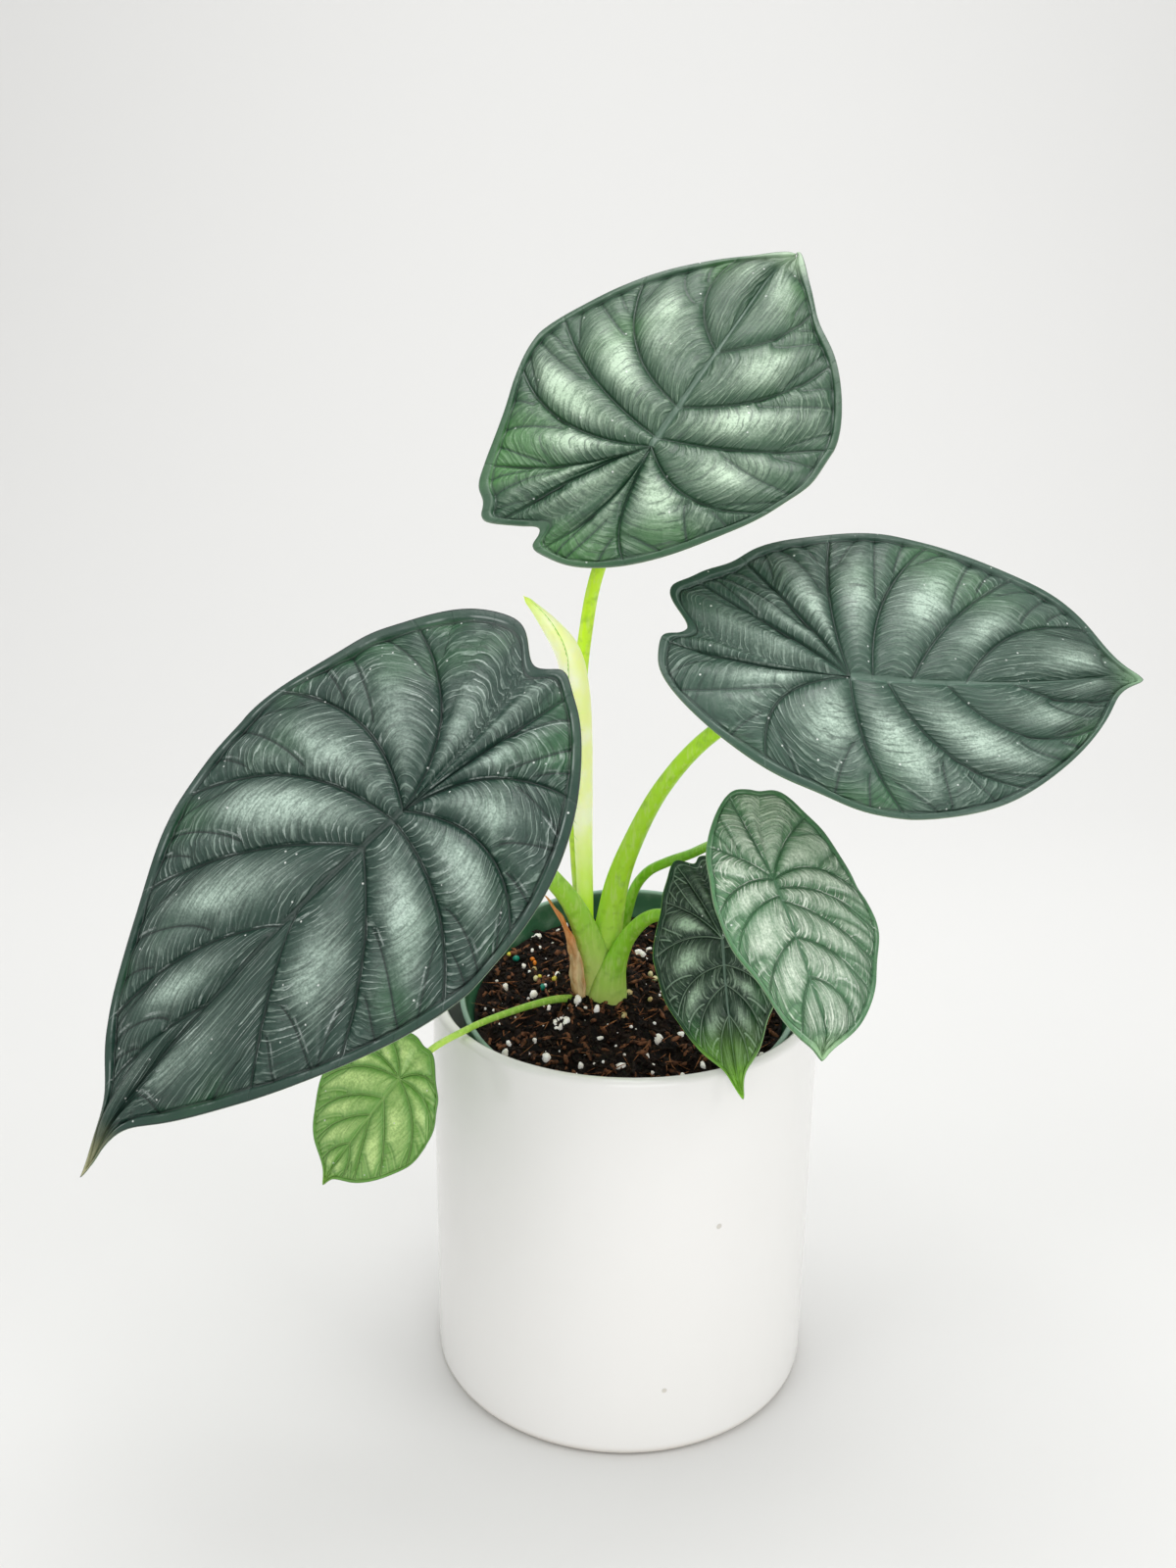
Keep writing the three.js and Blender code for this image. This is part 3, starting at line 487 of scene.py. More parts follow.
def veinLines(leaf, side):
    # the main veins of one side, with the midrib's tip and the notch as the first and the last
    own = leaf["veinsLeft"] if side > 0 else leaf["veinsRight"]
    return np.array([[0, blade["spineReach"] * (leaf["ahead"] + leaf["widest"]), 0], *own, [1, 0, 0]])


def crowded(count):
    # shares of a panel, closer together near its veins
    share = np.arange(count) / count
    return share - blade["crowding"] * np.sin(2 * np.pi * share) / (2 * np.pi)


def rowPlaces(leaf, side):
    # vein places of the rows, 0 at the tip and 7 at the notch; in front of the stalk's top both
    # sides start their rows at the same points of the midrib
    panels = blade["panels"]
    order = np.arange(panels + 1)
    wanted = (order[:-1, None] + crowded(leaf["rows"])).ravel()
    starts = []
    for way in (1, -1):
        lines = veinLines(leaf, way)
        starts.append(np.interp(wanted, order, lines[:, 1]))
        starts.append(lines[:, 1])
    starts = np.unique(np.round(np.concatenate(starts), 4))[::-1]
    own = veinLines(leaf, side)
    hub = int(np.argmax(own[:, 1] == 0))
    ahead = np.interp(starts[starts > 0], own[hub::-1, 1], order[hub::-1])
    behind = (np.arange(hub, panels)[:, None] + crowded(2 * leaf["rows"])).ravel()
    return np.concatenate([ahead, behind, [panels]])


def flatBlade(leaf, side, places, across):
    # points on the lines from the midrib to the margin, bowed towards the notch
    order = np.arange(blade["panels"] + 1)
    share, start, bow = (np.interp(places, order, column) for column in veinLines(leaf, side).T)
    end = marginAt(leaf, side, share)
    du, dv = end[:, 0] - start, end[:, 1]
    rimPart = np.minimum(blade["widestRim"], leaf["rim"] / np.maximum(np.hypot(du, dv), 1e-4))[:, None]
    edge = blade["rimShare"]
    inner = across / edge * (1 - rimPart)
    outer = 1 - rimPart + rimPart * (across - edge) / (1 - edge)
    r = np.where(across < edge, inner, outer)
    bowU, bowV = start + 0.5 * du - side * bow * dv, 0.5 * dv + side * bow * du
    a, b, c = (1 - r) ** 2, 2 * r * (1 - r), r * r
    u = a * start[:, None] + b * bowU[:, None] + c * end[:, :1]
    return u, b * bowV[:, None] + c * end[:, 1:]


def bentBlade(leaf, u, v):
    # the blade droops to its tip and base, cups a little, and its midrib sways
    front, back = leaf["ahead"] + leaf["widest"], leaf["behind"] - leaf["widest"]
    width = 0.5 * (leaf["left"] + leaf["right"])
    reach = np.where(u > 0, front, back)
    droop = np.where(u > 0, blade["droopTip"], blade["droopBase"])
    sway = np.where(u > 0, leaf["sway"], leaf["baseSway"])
    hook = leaf["tipHook"] * hill(front + leaf["point"] - u, blade["hookReach"] * front)
    bend = droop * u * u / reach + blade["cup"] * v * v / width
    return np.stack([u, v + sway * u * u / reach + hook, bend], -1)


def panelMeasures(leaf, places, base):
    # in mm on the blade: way along the vein, gap to the veins on both sides, and width of the panel
    alongStep = np.linalg.norm(np.diff(base, axis=1), axis=2)
    along = np.concatenate([np.zeros((len(places), 1)), np.cumsum(alongStep, axis=1)], axis=1)
    crossStep = np.linalg.norm(np.diff(base, axis=0), axis=2)
    cross = np.concatenate([np.zeros((1, base.shape[1])), np.cumsum(crossStep, axis=0)])
    rowWay = unit(np.gradient(base, axis=1))
    columnWay = unit(np.gradient(base, axis=0))
    slant = np.maximum(np.linalg.norm(np.cross(rowWay, columnWay), axis=2), blade["leastSlant"])
    veinRows = np.searchsorted(places, np.arange(blade["panels"] + 1) - 1e-6)
    panel = np.minimum(places.astype(int), blade["panels"] - 1)
    below, above = cross[veinRows[panel]], cross[np.minimum(veinRows[panel + 1], len(places) - 1)]
    return along, (cross - below) * slant, (above - cross) * slant, (above - below) * slant, panel


def panelFolds(leaf, side, places, across, along, width, panel):
    # smaller veins: each leaves a main vein part of the way out and arches to the rim's line. Gives
    # their sharp and wide relief, and the signed gap in mm to each of the three
    draws = np.random.default_rng(leaf["seed"] * 10 + (side > 0))
    part = (places - panel)[:, None] * np.ones_like(across)
    limit = blade["foldLimit"]
    sharp, wide, gaps = np.zeros(part.shape), np.zeros(part.shape), np.full((3, *part.shape), float(limit))
    size, edge, arch = leafSize(leaf), blade["rimShare"], blade["foldArch"]
    fadeIn, fadeOut = blade["foldFade"]
    reach = along[:, [np.searchsorted(across, edge)]]
    for p in range(blade["panels"]):
        mine = (panel == p)[:, None]
        for k, (fromFar, firsts, ends, depth) in enumerate(blade["folds"]):
            first, end = draws.uniform(*firsts), draws.uniform(*ends)
            share = np.clip((across - first) / (edge - first), 0, 1)
            line = end * share ** arch
            line = 1 - line if fromFar else line
            slope = end * arch * np.maximum(share, 0.05) ** (arch - 1) / (edge - first) * edge
            lean = np.sqrt(1 + (slope * width / np.maximum(reach, 1)) ** 2)
            gap = (part - line) * width / lean
            shown = mine * softStep(first, first + fadeIn, across)
            shown = shown * (1 - softStep(edge, edge + fadeOut, across))
            shown = shown * softStep(*(size * bound for bound in blade["foldPanelWidth"]), width)
            sharp = np.maximum(sharp, depth * shown * hill(gap, blade["foldWidth"] * size))
            wide = np.maximum(wide, depth * shown * hill(gap, blade["foldReach"] * size))
            gaps[k] = np.where(mine, gap + np.sign(gap) * limit * (1 - shown), gaps[k])
    closing = 1 - softStep(*(blade["panels"] - before for before in blade["foldClosing"]), places)[:, None]
    gaps = np.clip(gaps + np.sign(gaps) * limit * (1 - closing), -limit, limit)
    return sharp * closing, wide * closing, gaps


def panelGlow(leaf, side, places, across, panel):
    # how silvery the skin is, partly its own colour and partly a painted highlight: one soft patch in each
    # panel, weak beside the tip and the notch
    draws = np.random.default_rng(leaf["seed"] * 10 + 5 + (side > 0))
    middle, centre, spread, vary = (draws.uniform(*blade[key], blade["panels"])[panel][:, None]
                                    for key in ("glowMiddle", "glowCentre", "glowSpread", "glowVary"))
    level = np.array(blade["glowLevels"])[panel][:, None] * vary
    part = (places - panel)[:, None]
    return level * np.exp(-(((part - middle) / blade["glowPart"]) ** 2) - ((across - centre) / spread) ** 2)


def bladeSide(leaf, side, across, isUnder):
    # one half of one face: a grid of rows along the vein lines and columns outwards
    places = rowPlaces(leaf, side)
    u, v = flatBlade(leaf, side, places, across)
    base = bentBlade(leaf, u, v)
    along, gapTip, gapNotch, width, panel = panelMeasures(leaf, places, base)
    gapNotch = np.where((panel == blade["panels"] - 1)[:, None], blade["far"], gapNotch)
    veinGap = np.minimum(gapTip, gapNotch)
    midGap = np.where(u > 0, np.abs(v), blade["far"])
    reach = along[:, [np.searchsorted(across, blade["rimShare"])]]
    rimGap = np.where(across < blade["rimShare"], np.abs(reach - along), 0)
    size = leafSize(leaf)
    # one gap to all the sunken lines, blended so that no crease stands between them
    gaps = [np.maximum(gap, 0.05) / size ** blade["gapGrowth"]
            for gap in (veinGap, blade["midribGap"] * midGap, rimGap)]
    pillow = sum(gap ** -3 for gap in gaps) ** (-1 / 3)
    x = places[:, None]
    closing = 1 - softStep(blade["panels"] - blade["closing"], blade["panels"], x)
    bulge = np.abs(np.sin(np.pi * x)) ** blade["ridgeSharpness"]
    bulgeFrom, bulgeTo = blade["bulgeWithin"]
    inside = softStep(0, bulgeFrom, across) * (1 - softStep(bulgeTo, blade["rimShare"], across))
    rimPart = np.clip((across - blade["rimShare"]) / (1 - blade["rimShare"]), 0, 1)
    dome = 1 - np.exp(-((pillow / blade["domeFall"]) ** blade["domePower"]))
    raised = blade["dome"] * dome + blade["bulge"] * bulge * inside
    lift = leaf["quilt"] * raised + blade["rimRound"] * np.sin(np.pi * rimPart)
    lift += leaf["wave"] * np.sin(np.pi * x + leaf["quilt"]) * across ** 4 * softStep(0, 1, x)
    lift = lift * closing
    sharp, wide, foldGaps = panelFolds(leaf, side, places, across, along, width, panel)
    hub = hill(np.hypot(np.minimum(u, 0), v), blade["hubWidth"] * size)
    lift -= blade["hubDip"] * leaf["quilt"] * hub * closing
    away = softStep(0, 0.06, across) * closing
    grainSize = blade["grainSize"] * size
    grain = valueNoise(u / grainSize + 40, v / grainSize + 40, leaf["seed"]) - 0.5
    veinWidth = (blade["veinWidth"] - blade["veinTaper"] * across) * size
    veinCut = hill(veinGap, veinWidth) * softStep(0.0, 0.03, across) * closing
    veinCut = veinCut * (1 - softStep(*blade["veinEnd"], across))
    collective = hill(across - blade["rimShare"], blade["rimLine"]) * closing
    fine = blade["grain"] * size * grain * away * (1 - blade["rimGrain"] * rimPart)
    if isUnder:
        rib = blade["underVein"] * size * veinCut * (1 - softStep(*blade["underVeinEnd"], across))
        midRib = blade["underMidrib"] * size * hill(midGap, blade["hubWidth"] * size)
        midRib = midRib * (1 - softStep(*blade["underMidribEnd"], u / leaf["ahead"]))
        thinner = blade["edgeThickness"] - blade["thickness"]
        thick = blade["thickness"] + thinner * softStep(blade["thinFrom"], 1, across)
        lift = lift + fine * blade["underGrain"] - thick - rib - midRib
        lift = lift - blade["underFold"] * size * wide - blade["foldDepth"] * size * sharp
    else:
        midCut = hill(midGap, blade["midribWidth"] * size) * softStep(*blade["midribStart"], u)
        lift = lift + fine - blade["veinDepth"] * size * veinCut
        lift = lift - blade["foldDepth"] * size * sharp - blade["foldDip"] * size * wide
        lift = lift - blade["rimDepth"] * size * collective - blade["midribDepth"] * size * midCut
    base[..., 2] += lift
    tipward = u / (leaf["ahead"] + leaf["widest"] + leaf["point"])
    part = (places - panel)[:, None] * np.ones_like(u)
    # the fine ribs cross a panel in arcs, their middles nearest to the rim
    phase = along - 0.9 * width * part * (1 - part)
    maps = {
        "ribMap": np.stack([phase, gapTip + 90 * panel[:, None]], -1),
        "veinMap": np.stack([np.minimum(gap, blade["mapLimit"]) for gap in (veinGap, midGap)], -1),
        "panelMap": np.stack([part, across * np.ones_like(u)], -1),
        "foldMap": np.stack([foldGaps[0], foldGaps[1]], -1),
        "outerMap": np.stack([foldGaps[2], tipward], -1),
        "glowMap": np.stack([panelGlow(leaf, side, places, across, panel), wide], -1),
        "faceMap": np.stack([np.full_like(u, float(isUnder)), np.minimum(pillow, blade["mapLimit"])], -1),
    }
    return base.reshape(-1, 3), {k: m.reshape(-1, 2) for k, m in maps.items()}, len(places)


def makeLeaf(name, leaf, material):
    # both halves of both faces, joined round the margin, in the leaf's own frame
    edge, rim, underRim = blade["rimShare"], blade["rimColumns"], blade["underRimColumns"]
    columns, fewer = leaf["columns"] - rim, leaf["columns"] // blade["underCoarser"]
    upper = np.concatenate([np.linspace(0, edge, columns, endpoint=False), np.linspace(edge, 1, rim)])
    lower = np.concatenate([np.linspace(0, edge, fewer, endpoint=False), np.linspace(edge, 1, underRim)])
    pointLists, mapLists, faceLists = [], [], []
    count = 0
    for side in (1, -1):
        rims = []
        for across, isUnder in ((upper, False), (lower, True)):
            points, maps, rows = bladeSide(leaf, side, across, isUnder)
            faces = gridFaces(rows, len(across)) + count
            faceLists.append(faces[:, ::-1] if (side > 0) != isUnder else faces)
            rims.append(count + np.arange(rows) * len(across) + len(across) - 1)
            pointLists.append(points)
            mapLists.append(maps)
            count += len(points)
        top, bottom = rims
        strip = np.concatenate([np.stack([top[:-1], top[1:], bottom[1:]], 1),
                                np.stack([top[:-1], bottom[1:], bottom[:-1]], 1)])
        faceLists.append(strip if side < 0 else strip[:, ::-1])
    points = np.array(leaf["stalkTop"]) + np.concatenate(pointLists) @ leafAxes(leaf)
    maps = {k: np.concatenate([m[k] for m in mapLists]) for k in mapLists[0]}
    addPiece(name + "_fine", points, np.concatenate(faceLists), material, (name,), maps)


# Leaf skin: dark at the veins and silvery in the middle of each panel, the silver partly the leaf's own and
# partly a painted highlight on the pillows, under a fine net of ribs
leafSkin, t, given, out = makeGroup("leafSkin", {
    "Dark": rgb(60, 80, 75), "Bright": rgb(130, 160, 140), "Vein": rgb(50, 70, 65), "Midrib": rgb(50, 70, 65),
    "Rim": rgb(70, 95, 85), "Tip": rgb(130, 150, 110), "Tip Start": 0.84, "Edge": rgb(60, 80, 70),
    "Glint Tone": rgb(200, 210, 205), "Tint": rgb(60, 110, 60), "Tint Share": 0.35, "Under": rgb(148, 172, 140),
    "Rib Spacing": 2.2, "Rib Strength": 1.0, "Vein Width": 0.4, "Vein Strength": 0.75, "Shade": 0.28,
    "Streaks": 0.4, "Glow Low": 0.0, "Glow Share": 1.0, "Rib Share": 0.34, "Rib Dark": 0.2,
    "Midrib Width": 1.4,
})
place = t.object()
phase, cross = t.map("ribMap")
veinGap, midGap = t.map("veinMap")
part, across = t.map("panelMap")
foldA, foldB = t.map("foldMap")
foldC, tipward = t.map("outerMap")
glowShape, fold = t.map("glowMap")
under, pillow = t.map("faceMap")
patch = t.noise(place, 70, 3)
wander = t.noise(place, 150, 2)
grain = t.noise(place, 1500, 2, 0.6)
ribTurn = t.plus(t.over(phase, given["Rib Spacing"]), t.times(wander, 0.9))
ribCross = t.over(cross, t.times(given["Rib Spacing"], 3.6))
strokePlace = t.add("ShaderNodeCombineXYZ", {0: ribTurn, 1: ribCross, 2: 0.5}).outputs[0]
strokes = t.noise(strokePlace, 1.15, 4, 0.65)
# the ribs: two sets of uneven arcs that take turns, so that ribs end and fork where the sets meet
loose = t.plus(ribTurn, t.times(t.noise(strokePlace, 0.7, 2), 2.2))
ribsA, ribsB = (t.math("SINE", t.times(loose, pace)) for pace in (6.28, 4.3))
turns = t.between(t.noise(strokePlace, 0.45, 2), 0.46, 0.54)
ribWave = t.plus(t.times(ribsA, turns), t.times(ribsB, t.minus(1.0, turns)))
ribLine = t.between(ribWave, 0.76, 1.0)
ribGroove = t.between(ribWave, -0.72, -0.98)
broken = t.between(t.noise(place, 110, 3, 0.6), 0.46, 0.62)
midWidth = t.times(t.between(tipward, 0.0, 0.75, 1.0, 0.3), given["Midrib Width"])
onMidrib = t.between(t.over(midGap, midWidth), 1.0, 0.6)
offMidrib = t.minus(1.0, onMidrib)
ribArea = t.times(t.between(pillow, 0.1, 0.9), t.between(glowShape, 0.15, 0.9, 1.0, 0.3), offMidrib,
                  t.between(t.noise(place, 60, 2), 0.32, 0.55, 0.3, 1), given["Rib Strength"])
# the silvery patch is partly a painted highlight on the pillow tops; it fades into painted shade towards the
# veins and in the folds
glow = t.plus(t.times(glowShape, given["Glow Share"]), given["Glow Low"])
glow = t.times(glow, t.between(pillow, 0.4, 4.6), t.between(patch, 0.3, 0.66, 0.6, 1.1),
               t.between(strokes, 0.3, 0.66, 0.7, 1.25), t.between(grain, 0.32, 0.68, 0.7, 1.3),
               t.between(fold, 0.1, 0.9, 1, 0.35), t.between(across, 0.87, 0.8))
tint = t.times(t.between(t.noise(place, 26, 2), 0.48, 0.66), t.between(across, 0.3, 0.85))
# painted highlight on the crests of the ribs and strokes, and painted shade in the strokes' dips
ribHighlight = t.most(t.times(t.between(strokes, 0.52, 0.7), 0.6), ribLine)
ribHighlight = t.times(ribHighlight, ribArea, t.between(strokes, 0.35, 0.6, 0.35, 1.0))
ribDipShade = t.times(t.between(strokes, 0.5, 0.3), ribArea)
groove = t.times(ribGroove, t.between(pillow, 0.3, 1.2), given["Rib Dark"],
                 t.between(t.noise(place, 130, 3), 0.36, 0.56, 0.15, 1.0), offMidrib)
# the smaller veins: a thin dark line in a painted soft shade, with a painted glint 0.8 mm beside it
near = t.least(*(t.math("ABSOLUTE", gap) for gap in (foldA, foldB, foldC)))
shifted = (t.minus(foldA, 0.8), t.minus(foldB, 0.8), t.plus(foldC, 0.8))
beside = t.least(*(t.math("ABSOLUTE", gap) for gap in shifted))
nearTurn = t.over(near, given["Vein Width"])
# painted glints: broken light lines along one side of the veins, on the net and along the rim
veinTurn = t.over(veinGap, given["Vein Width"])
band = t.times(t.between(veinTurn, 0.9, 1.4), t.between(veinTurn, 2.6, 1.6), t.between(part, 0.45, 0.35))
band = t.most(band, t.times(t.between(beside, 0.35, 0.12), 0.55), t.times(ribLine, ribArea, 0.5))
# painted glint colour laid over the skin
paintedGlint = t.times(band, t.between(grain, 0.35, 0.6, 0.35, 1), broken, given["Streaks"])
rimGlint = t.times(t.between(across, 0.875, 0.89), t.between(across, 0.915, 0.9), broken, given["Streaks"])
veinLine = t.times(t.between(veinTurn, 1.0, 0.35), t.between(across, 0.87, 0.84))
rimLine = t.times(t.between(across, 0.83, 0.845), t.between(across, 0.865, 0.85), 0.8)
rimColor = t.mix(t.between(strokes, 0.4, 0.7), given["Dark"], given["Rim"])
tipShare = t.over(t.minus(tipward, given["Tip Start"]), t.minus(1.0, given["Tip Start"]))
tipShare = t.plus(tipShare, t.times(t.minus(patch, 0.5), 0.8))
color = t.layered(
    t.mix(glow, given["Dark"], given["Bright"]),
    (t.times(tint, given["Tint Share"]), given["Tint"]),
    (t.times(ribHighlight, given["Rib Share"]), given["Bright"]),
    (t.times(ribDipShade, 0.5), given["Dark"]),
    (groove, given["Vein"]),
    (t.between(nearTurn, 3.4, 0.5, 0, 0.45), given["Dark"]),
    (t.times(t.between(nearTurn, 1.1, 0.4), given["Vein Strength"]), given["Vein"]),
    (paintedGlint, given["Glint Tone"]),
    (t.times(t.between(across, 0.855, 0.89), 0.75), rimColor),
    (t.times(t.between(veinTurn, 3.2, 0.6), given["Shade"]), given["Dark"]),
    (t.times(t.most(veinLine, rimLine), given["Vein Strength"]), given["Vein"]),
    (t.times(rimGlint, 0.3), given["Glint Tone"]),
    (t.times(onMidrib, given["Vein Strength"]), given["Midrib"]),
    (t.between(tipShare, 0, 1), given["Tip"]),
    (t.between(across, 0.975, 0.995), given["Edge"]),
    (t.times(t.spots(place, 330.0, 0.12, 0.06, (0.76, 0.78)), 0.8), rgb(225, 230, 225)),
)
underColor = t.layered(given["Under"], (t.times(t.between(veinGap, 1.2, 0.4), 0.6), rgb(104, 132, 92)),
                       (t.times(patch, 0.35), rgb(120, 150, 112)))
shine = t.between(t.noise(place, 240, 2), 0.3, 0.7, 0.3, 0.48)
height = t.plus(t.times(t.between(ribWave, -0.6, 1.0), ribArea, 0.26), t.times(strokes, ribArea, 0.6),
                t.times(onMidrib, 0.15), t.times(grain, 0.07), t.times(t.noise(place, 260, 3), 0.18),
                t.times(t.between(veinGap, 0.5, 0.1), -0.1), t.times(t.between(near, 0.7, 0.1), -0.2))
t.give(out, t.mix(under, color, underColor), t.plus(shine, t.times(under, 0.2)),
       t.times(height, t.minus(1, t.times(under, 0.7))))

for name, leaf in leaves.items():
    skin = skinMaterial(name + "_skin", leafSkin, leaf["skin"],
                        {"Coat Weight": 0.15, "Coat Roughness": 0.3, "Specular IOR Level": 0.42})
    makeLeaf(name, leaf, skin)
print("leaves done")


# Stalks

# through: points of the middle line, from the crown up. girth: radii at even shares of the way
stalks = {
    "stalk_right": {
        "through": [(-7, 2.5, 121), (-6.8, 1.5, 133), (-5.3, 0, 148), (-3.1, -2, 162), (0.6, -4, 174),
                    (9.4, -10, 194.5), (23.3, -21, 214.6), (42, -31, 228)],
        "girth": [5.0, 4.9, 4.3, 3.6, 3, 2.5, 2.3, 2.1, 1.9], "leaf": "leaf_right",
        "oval": 0.15,
        "skin": {"Base": rgb(208, 240, 116), "Body": rgb(182, 232, 36), "Top": rgb(176, 228, 28)},
    },
    "stalk_large_left": {
        "through": [(-8.8, -1, 121), (-9.2, -2, 134), (-11.4, -4, 143.5), (-15, -7.5, 154), (-20, -13, 164),
                    (-36, -30, 186)],
        "girth": [4.1, 4.6, 4.2, 3.4, 2.8, 2.5, 2.2], "leaf": "leaf_large_left",
        "oval": 0.3,
        "skin": {"Base": rgb(212, 230, 132), "Body": rgb(168, 222, 66), "Top": rgb(144, 204, 50)},
    },
    "stalk_top": {
        "through": [(-13, 8, 121), (-13, 8.5, 140), (-15.4, 9.5, 164), (-16.9, 9.5, 190), (-15.8, 7, 215),
                    (-13.9, 3.5, 236.5), (-10.4, 0, 256)],
        "girth": [3, 2.8, 2.4, 2.2, 2.1, 2, 1.9, 1.8], "leaf": "leaf_top",
        "skin": {"Base": rgb(188, 230, 60), "Body": rgb(216, 252, 44), "Top": rgb(208, 250, 40)},
    },
    "stalk_small_pale": {
        "through": [(-3.6, 8.4, 121), (-3, 9, 130), (-1.6, 9, 139.5), (0.1, 7, 148.7), (2.4, 4, 158),
                    (6.4, -1, 165.3), (11.6, -6, 170.1), (18.2, -12, 175), (24.9, -24, 182.6),
                    (33, -40, 187.5)],
        "girth": [2.4, 2.2, 1.9, 1.7, 1.6, 1.5, 1.5, 1.4, 1.4, 1.3, 1.3], "leaf": "leaf_small_pale",
        "skin": {"Base": rgb(170, 216, 70), "Body": rgb(138, 204, 40), "Top": rgb(140, 206, 42)},
    },
    "stalk_small_dark": {
        "through": [(-5.4, -4, 121), (-5, -4.8, 128), (-3.2, -5.8, 137), (1.2, -8.4, 147.8),
                    (9.3, -18, 158)],
        "girth": [4.8, 4.4, 3.2, 2.4, 1.9, 1.5], "oval": 0.35, "leaf": "leaf_small_dark",
        "skin": {"Base": rgb(200, 222, 120), "Body": rgb(156, 220, 50), "Top": rgb(166, 228, 56)},
    },
    "stalk_young": {
        "through": [(-13, 0.5, 114), (-14.2, -0.5, 121), (-20, -6.5, 124.6), (-27.6, -15, 126.6),
                    (-41, -29, 127.6), (-46.2, -35, 127.5), (-54.6, -43, 125.6)],
        "girth": [1.3, 1.3, 1.2, 1.1, 1, 1, 1, 0.9], "leaf": "leaf_young_low", "slot": "stalk_young",
        "skin": {"Base": rgb(124, 168, 58), "Body": rgb(150, 198, 70), "Top": rgb(190, 226, 92)},
    },
}


def smoothLine(through, count, spanSteps=40):
    # centripetal Catmull-Rom curve, then points at even steps along it, with the curve's own share and
    # the way along it
    p = np.array(through, float)
    p = np.concatenate([[2 * p[0] - p[1]], p, [2 * p[-1] - p[-2]]])
    line, share = [], []
    spans = len(p) - 3
    for i in range(spans):
        x0, x1, x2, x3 = p[i:i + 4]
        d0, d1, d2 = (max(np.linalg.norm(b - a) ** 0.5, 1e-4) for a, b in ((x0, x1), (x1, x2), (x2, x3)))
        t1 = ((x1 - x0) / d0 - (x2 - x0) / (d0 + d1) + (x2 - x1) / d1) * d1
        t2 = ((x2 - x1) / d1 - (x3 - x1) / (d1 + d2) + (x3 - x2) / d2) * d1
        w = np.linspace(0, 1, spanSteps, endpoint=i == spans - 1)[:, None]
        line.append(x1 + t1 * w + (3 * (x2 - x1) - 2 * t1 - t2) * w ** 2 + (2 * (x1 - x2) + t1 + t2) * w ** 3)
        share.append((i + w[:, 0]) / spans)
    line, share = np.concatenate(line), np.concatenate(share)
    length = lineLength(line)
    even = np.linspace(0, length[-1], count)
    at = np.stack([np.interp(even, length, line[:, k]) for k in range(3)], 1)
    return at, np.interp(even, length, share), even


def listed(values, share):
    # listed values, which stand at even shares of the way
    return np.interp(share * (len(values) - 1), np.arange(len(values)), values)


def smoothGirth(girths, share, reach=8):
    # the listed girths, then each the mean of its neighbours on both sides
    girth, count = np.pad(listed(girths, share), reach, mode="edge"), 2 * reach + 1
    return np.convolve(girth, np.ones(count) / count, mode="valid")


def carriedFrames(line):
    # a side vector carried along the line without twist, and the one across it
    way = unit(np.gradient(line, axis=0))
    side = np.cross(way[0], (0.0, 1.0, 0.0))
    sides = []
    for tangent in way:
        side = side - side.dot(tangent) * tangent
        side = side / np.linalg.norm(side)
        sides.append(side)
    return np.array(sides), np.cross(way, sides)


def tube(line, radius, around):
    # rings round a line: centre + radius x (cos angle x side + sin angle x across), closed at both ends
    side, other = carriedFrames(line)
    angle = circle(around)
    rings = side[:, None] * np.cos(angle)[:, None] + other[:, None] * np.sin(angle)[:, None]
    radius = np.broadcast_to(radius, (len(line), around))
    points = line[:, None] + rings * radius[..., None]
    caps = np.broadcast_to(line[[0, -1]][:, None], (2, around, 3))
    return np.concatenate([caps[:1], points, caps[1:]]), gridFaces(len(line) + 2, around, wrap=True)


def pathMap(length, around):
    # UV map of a tube: share round it and millimetres along it, with the ends' rows repeated
    angle = np.abs(np.linspace(-1, 1, around, endpoint=False))
    u, v = np.meshgrid(angle, withEnds(length))
    return np.stack([u, v], -1).reshape(-1, 2)


# Stalk skin: paler at the base, streaked lengthwise and mottled
stalkSkin, t, given, out = makeGroup("stalkSkin", {
    "Base": rgb(170, 200, 110), "Body": rgb(130, 180, 60), "Top": rgb(140, 195, 60), "Length": 100.0,
})
place = t.object()
_, alongStalk = t.map("stalkMap")
share = t.over(alongStalk, given["Length"])
streaks = t.noise(t.stretched(place, (1.0, 1.0, 0.18)), 900, 3)
mottle = t.noise(place, 260, 3)
color = t.layered(given["Base"], (t.between(share, 0.08, 0.34), given["Body"]),
                  (t.between(share, 0.5, 0.9), given["Top"]),
                  (t.between(streaks, 0.45, 0.7, 0, 0.45), rgb(214, 234, 140)),
                  (t.between(mottle, 0.5, 0.72, 0, 0.35), rgb(104, 160, 40)))
t.give(out, color, t.between(mottle, 0.3, 0.7, 0.36, 0.5),
       t.plus(t.times(streaks, 0.12), t.times(mottle, 0.1)))

stalkShape = {"steps": 120, "around": 32, "rib": 0.02, "ribs": 7, "ribsFrom": (0, 20), "clasp": (32, 6),
              "buried": 6, "underSkin": 0.35, "pressedWithin": 9}


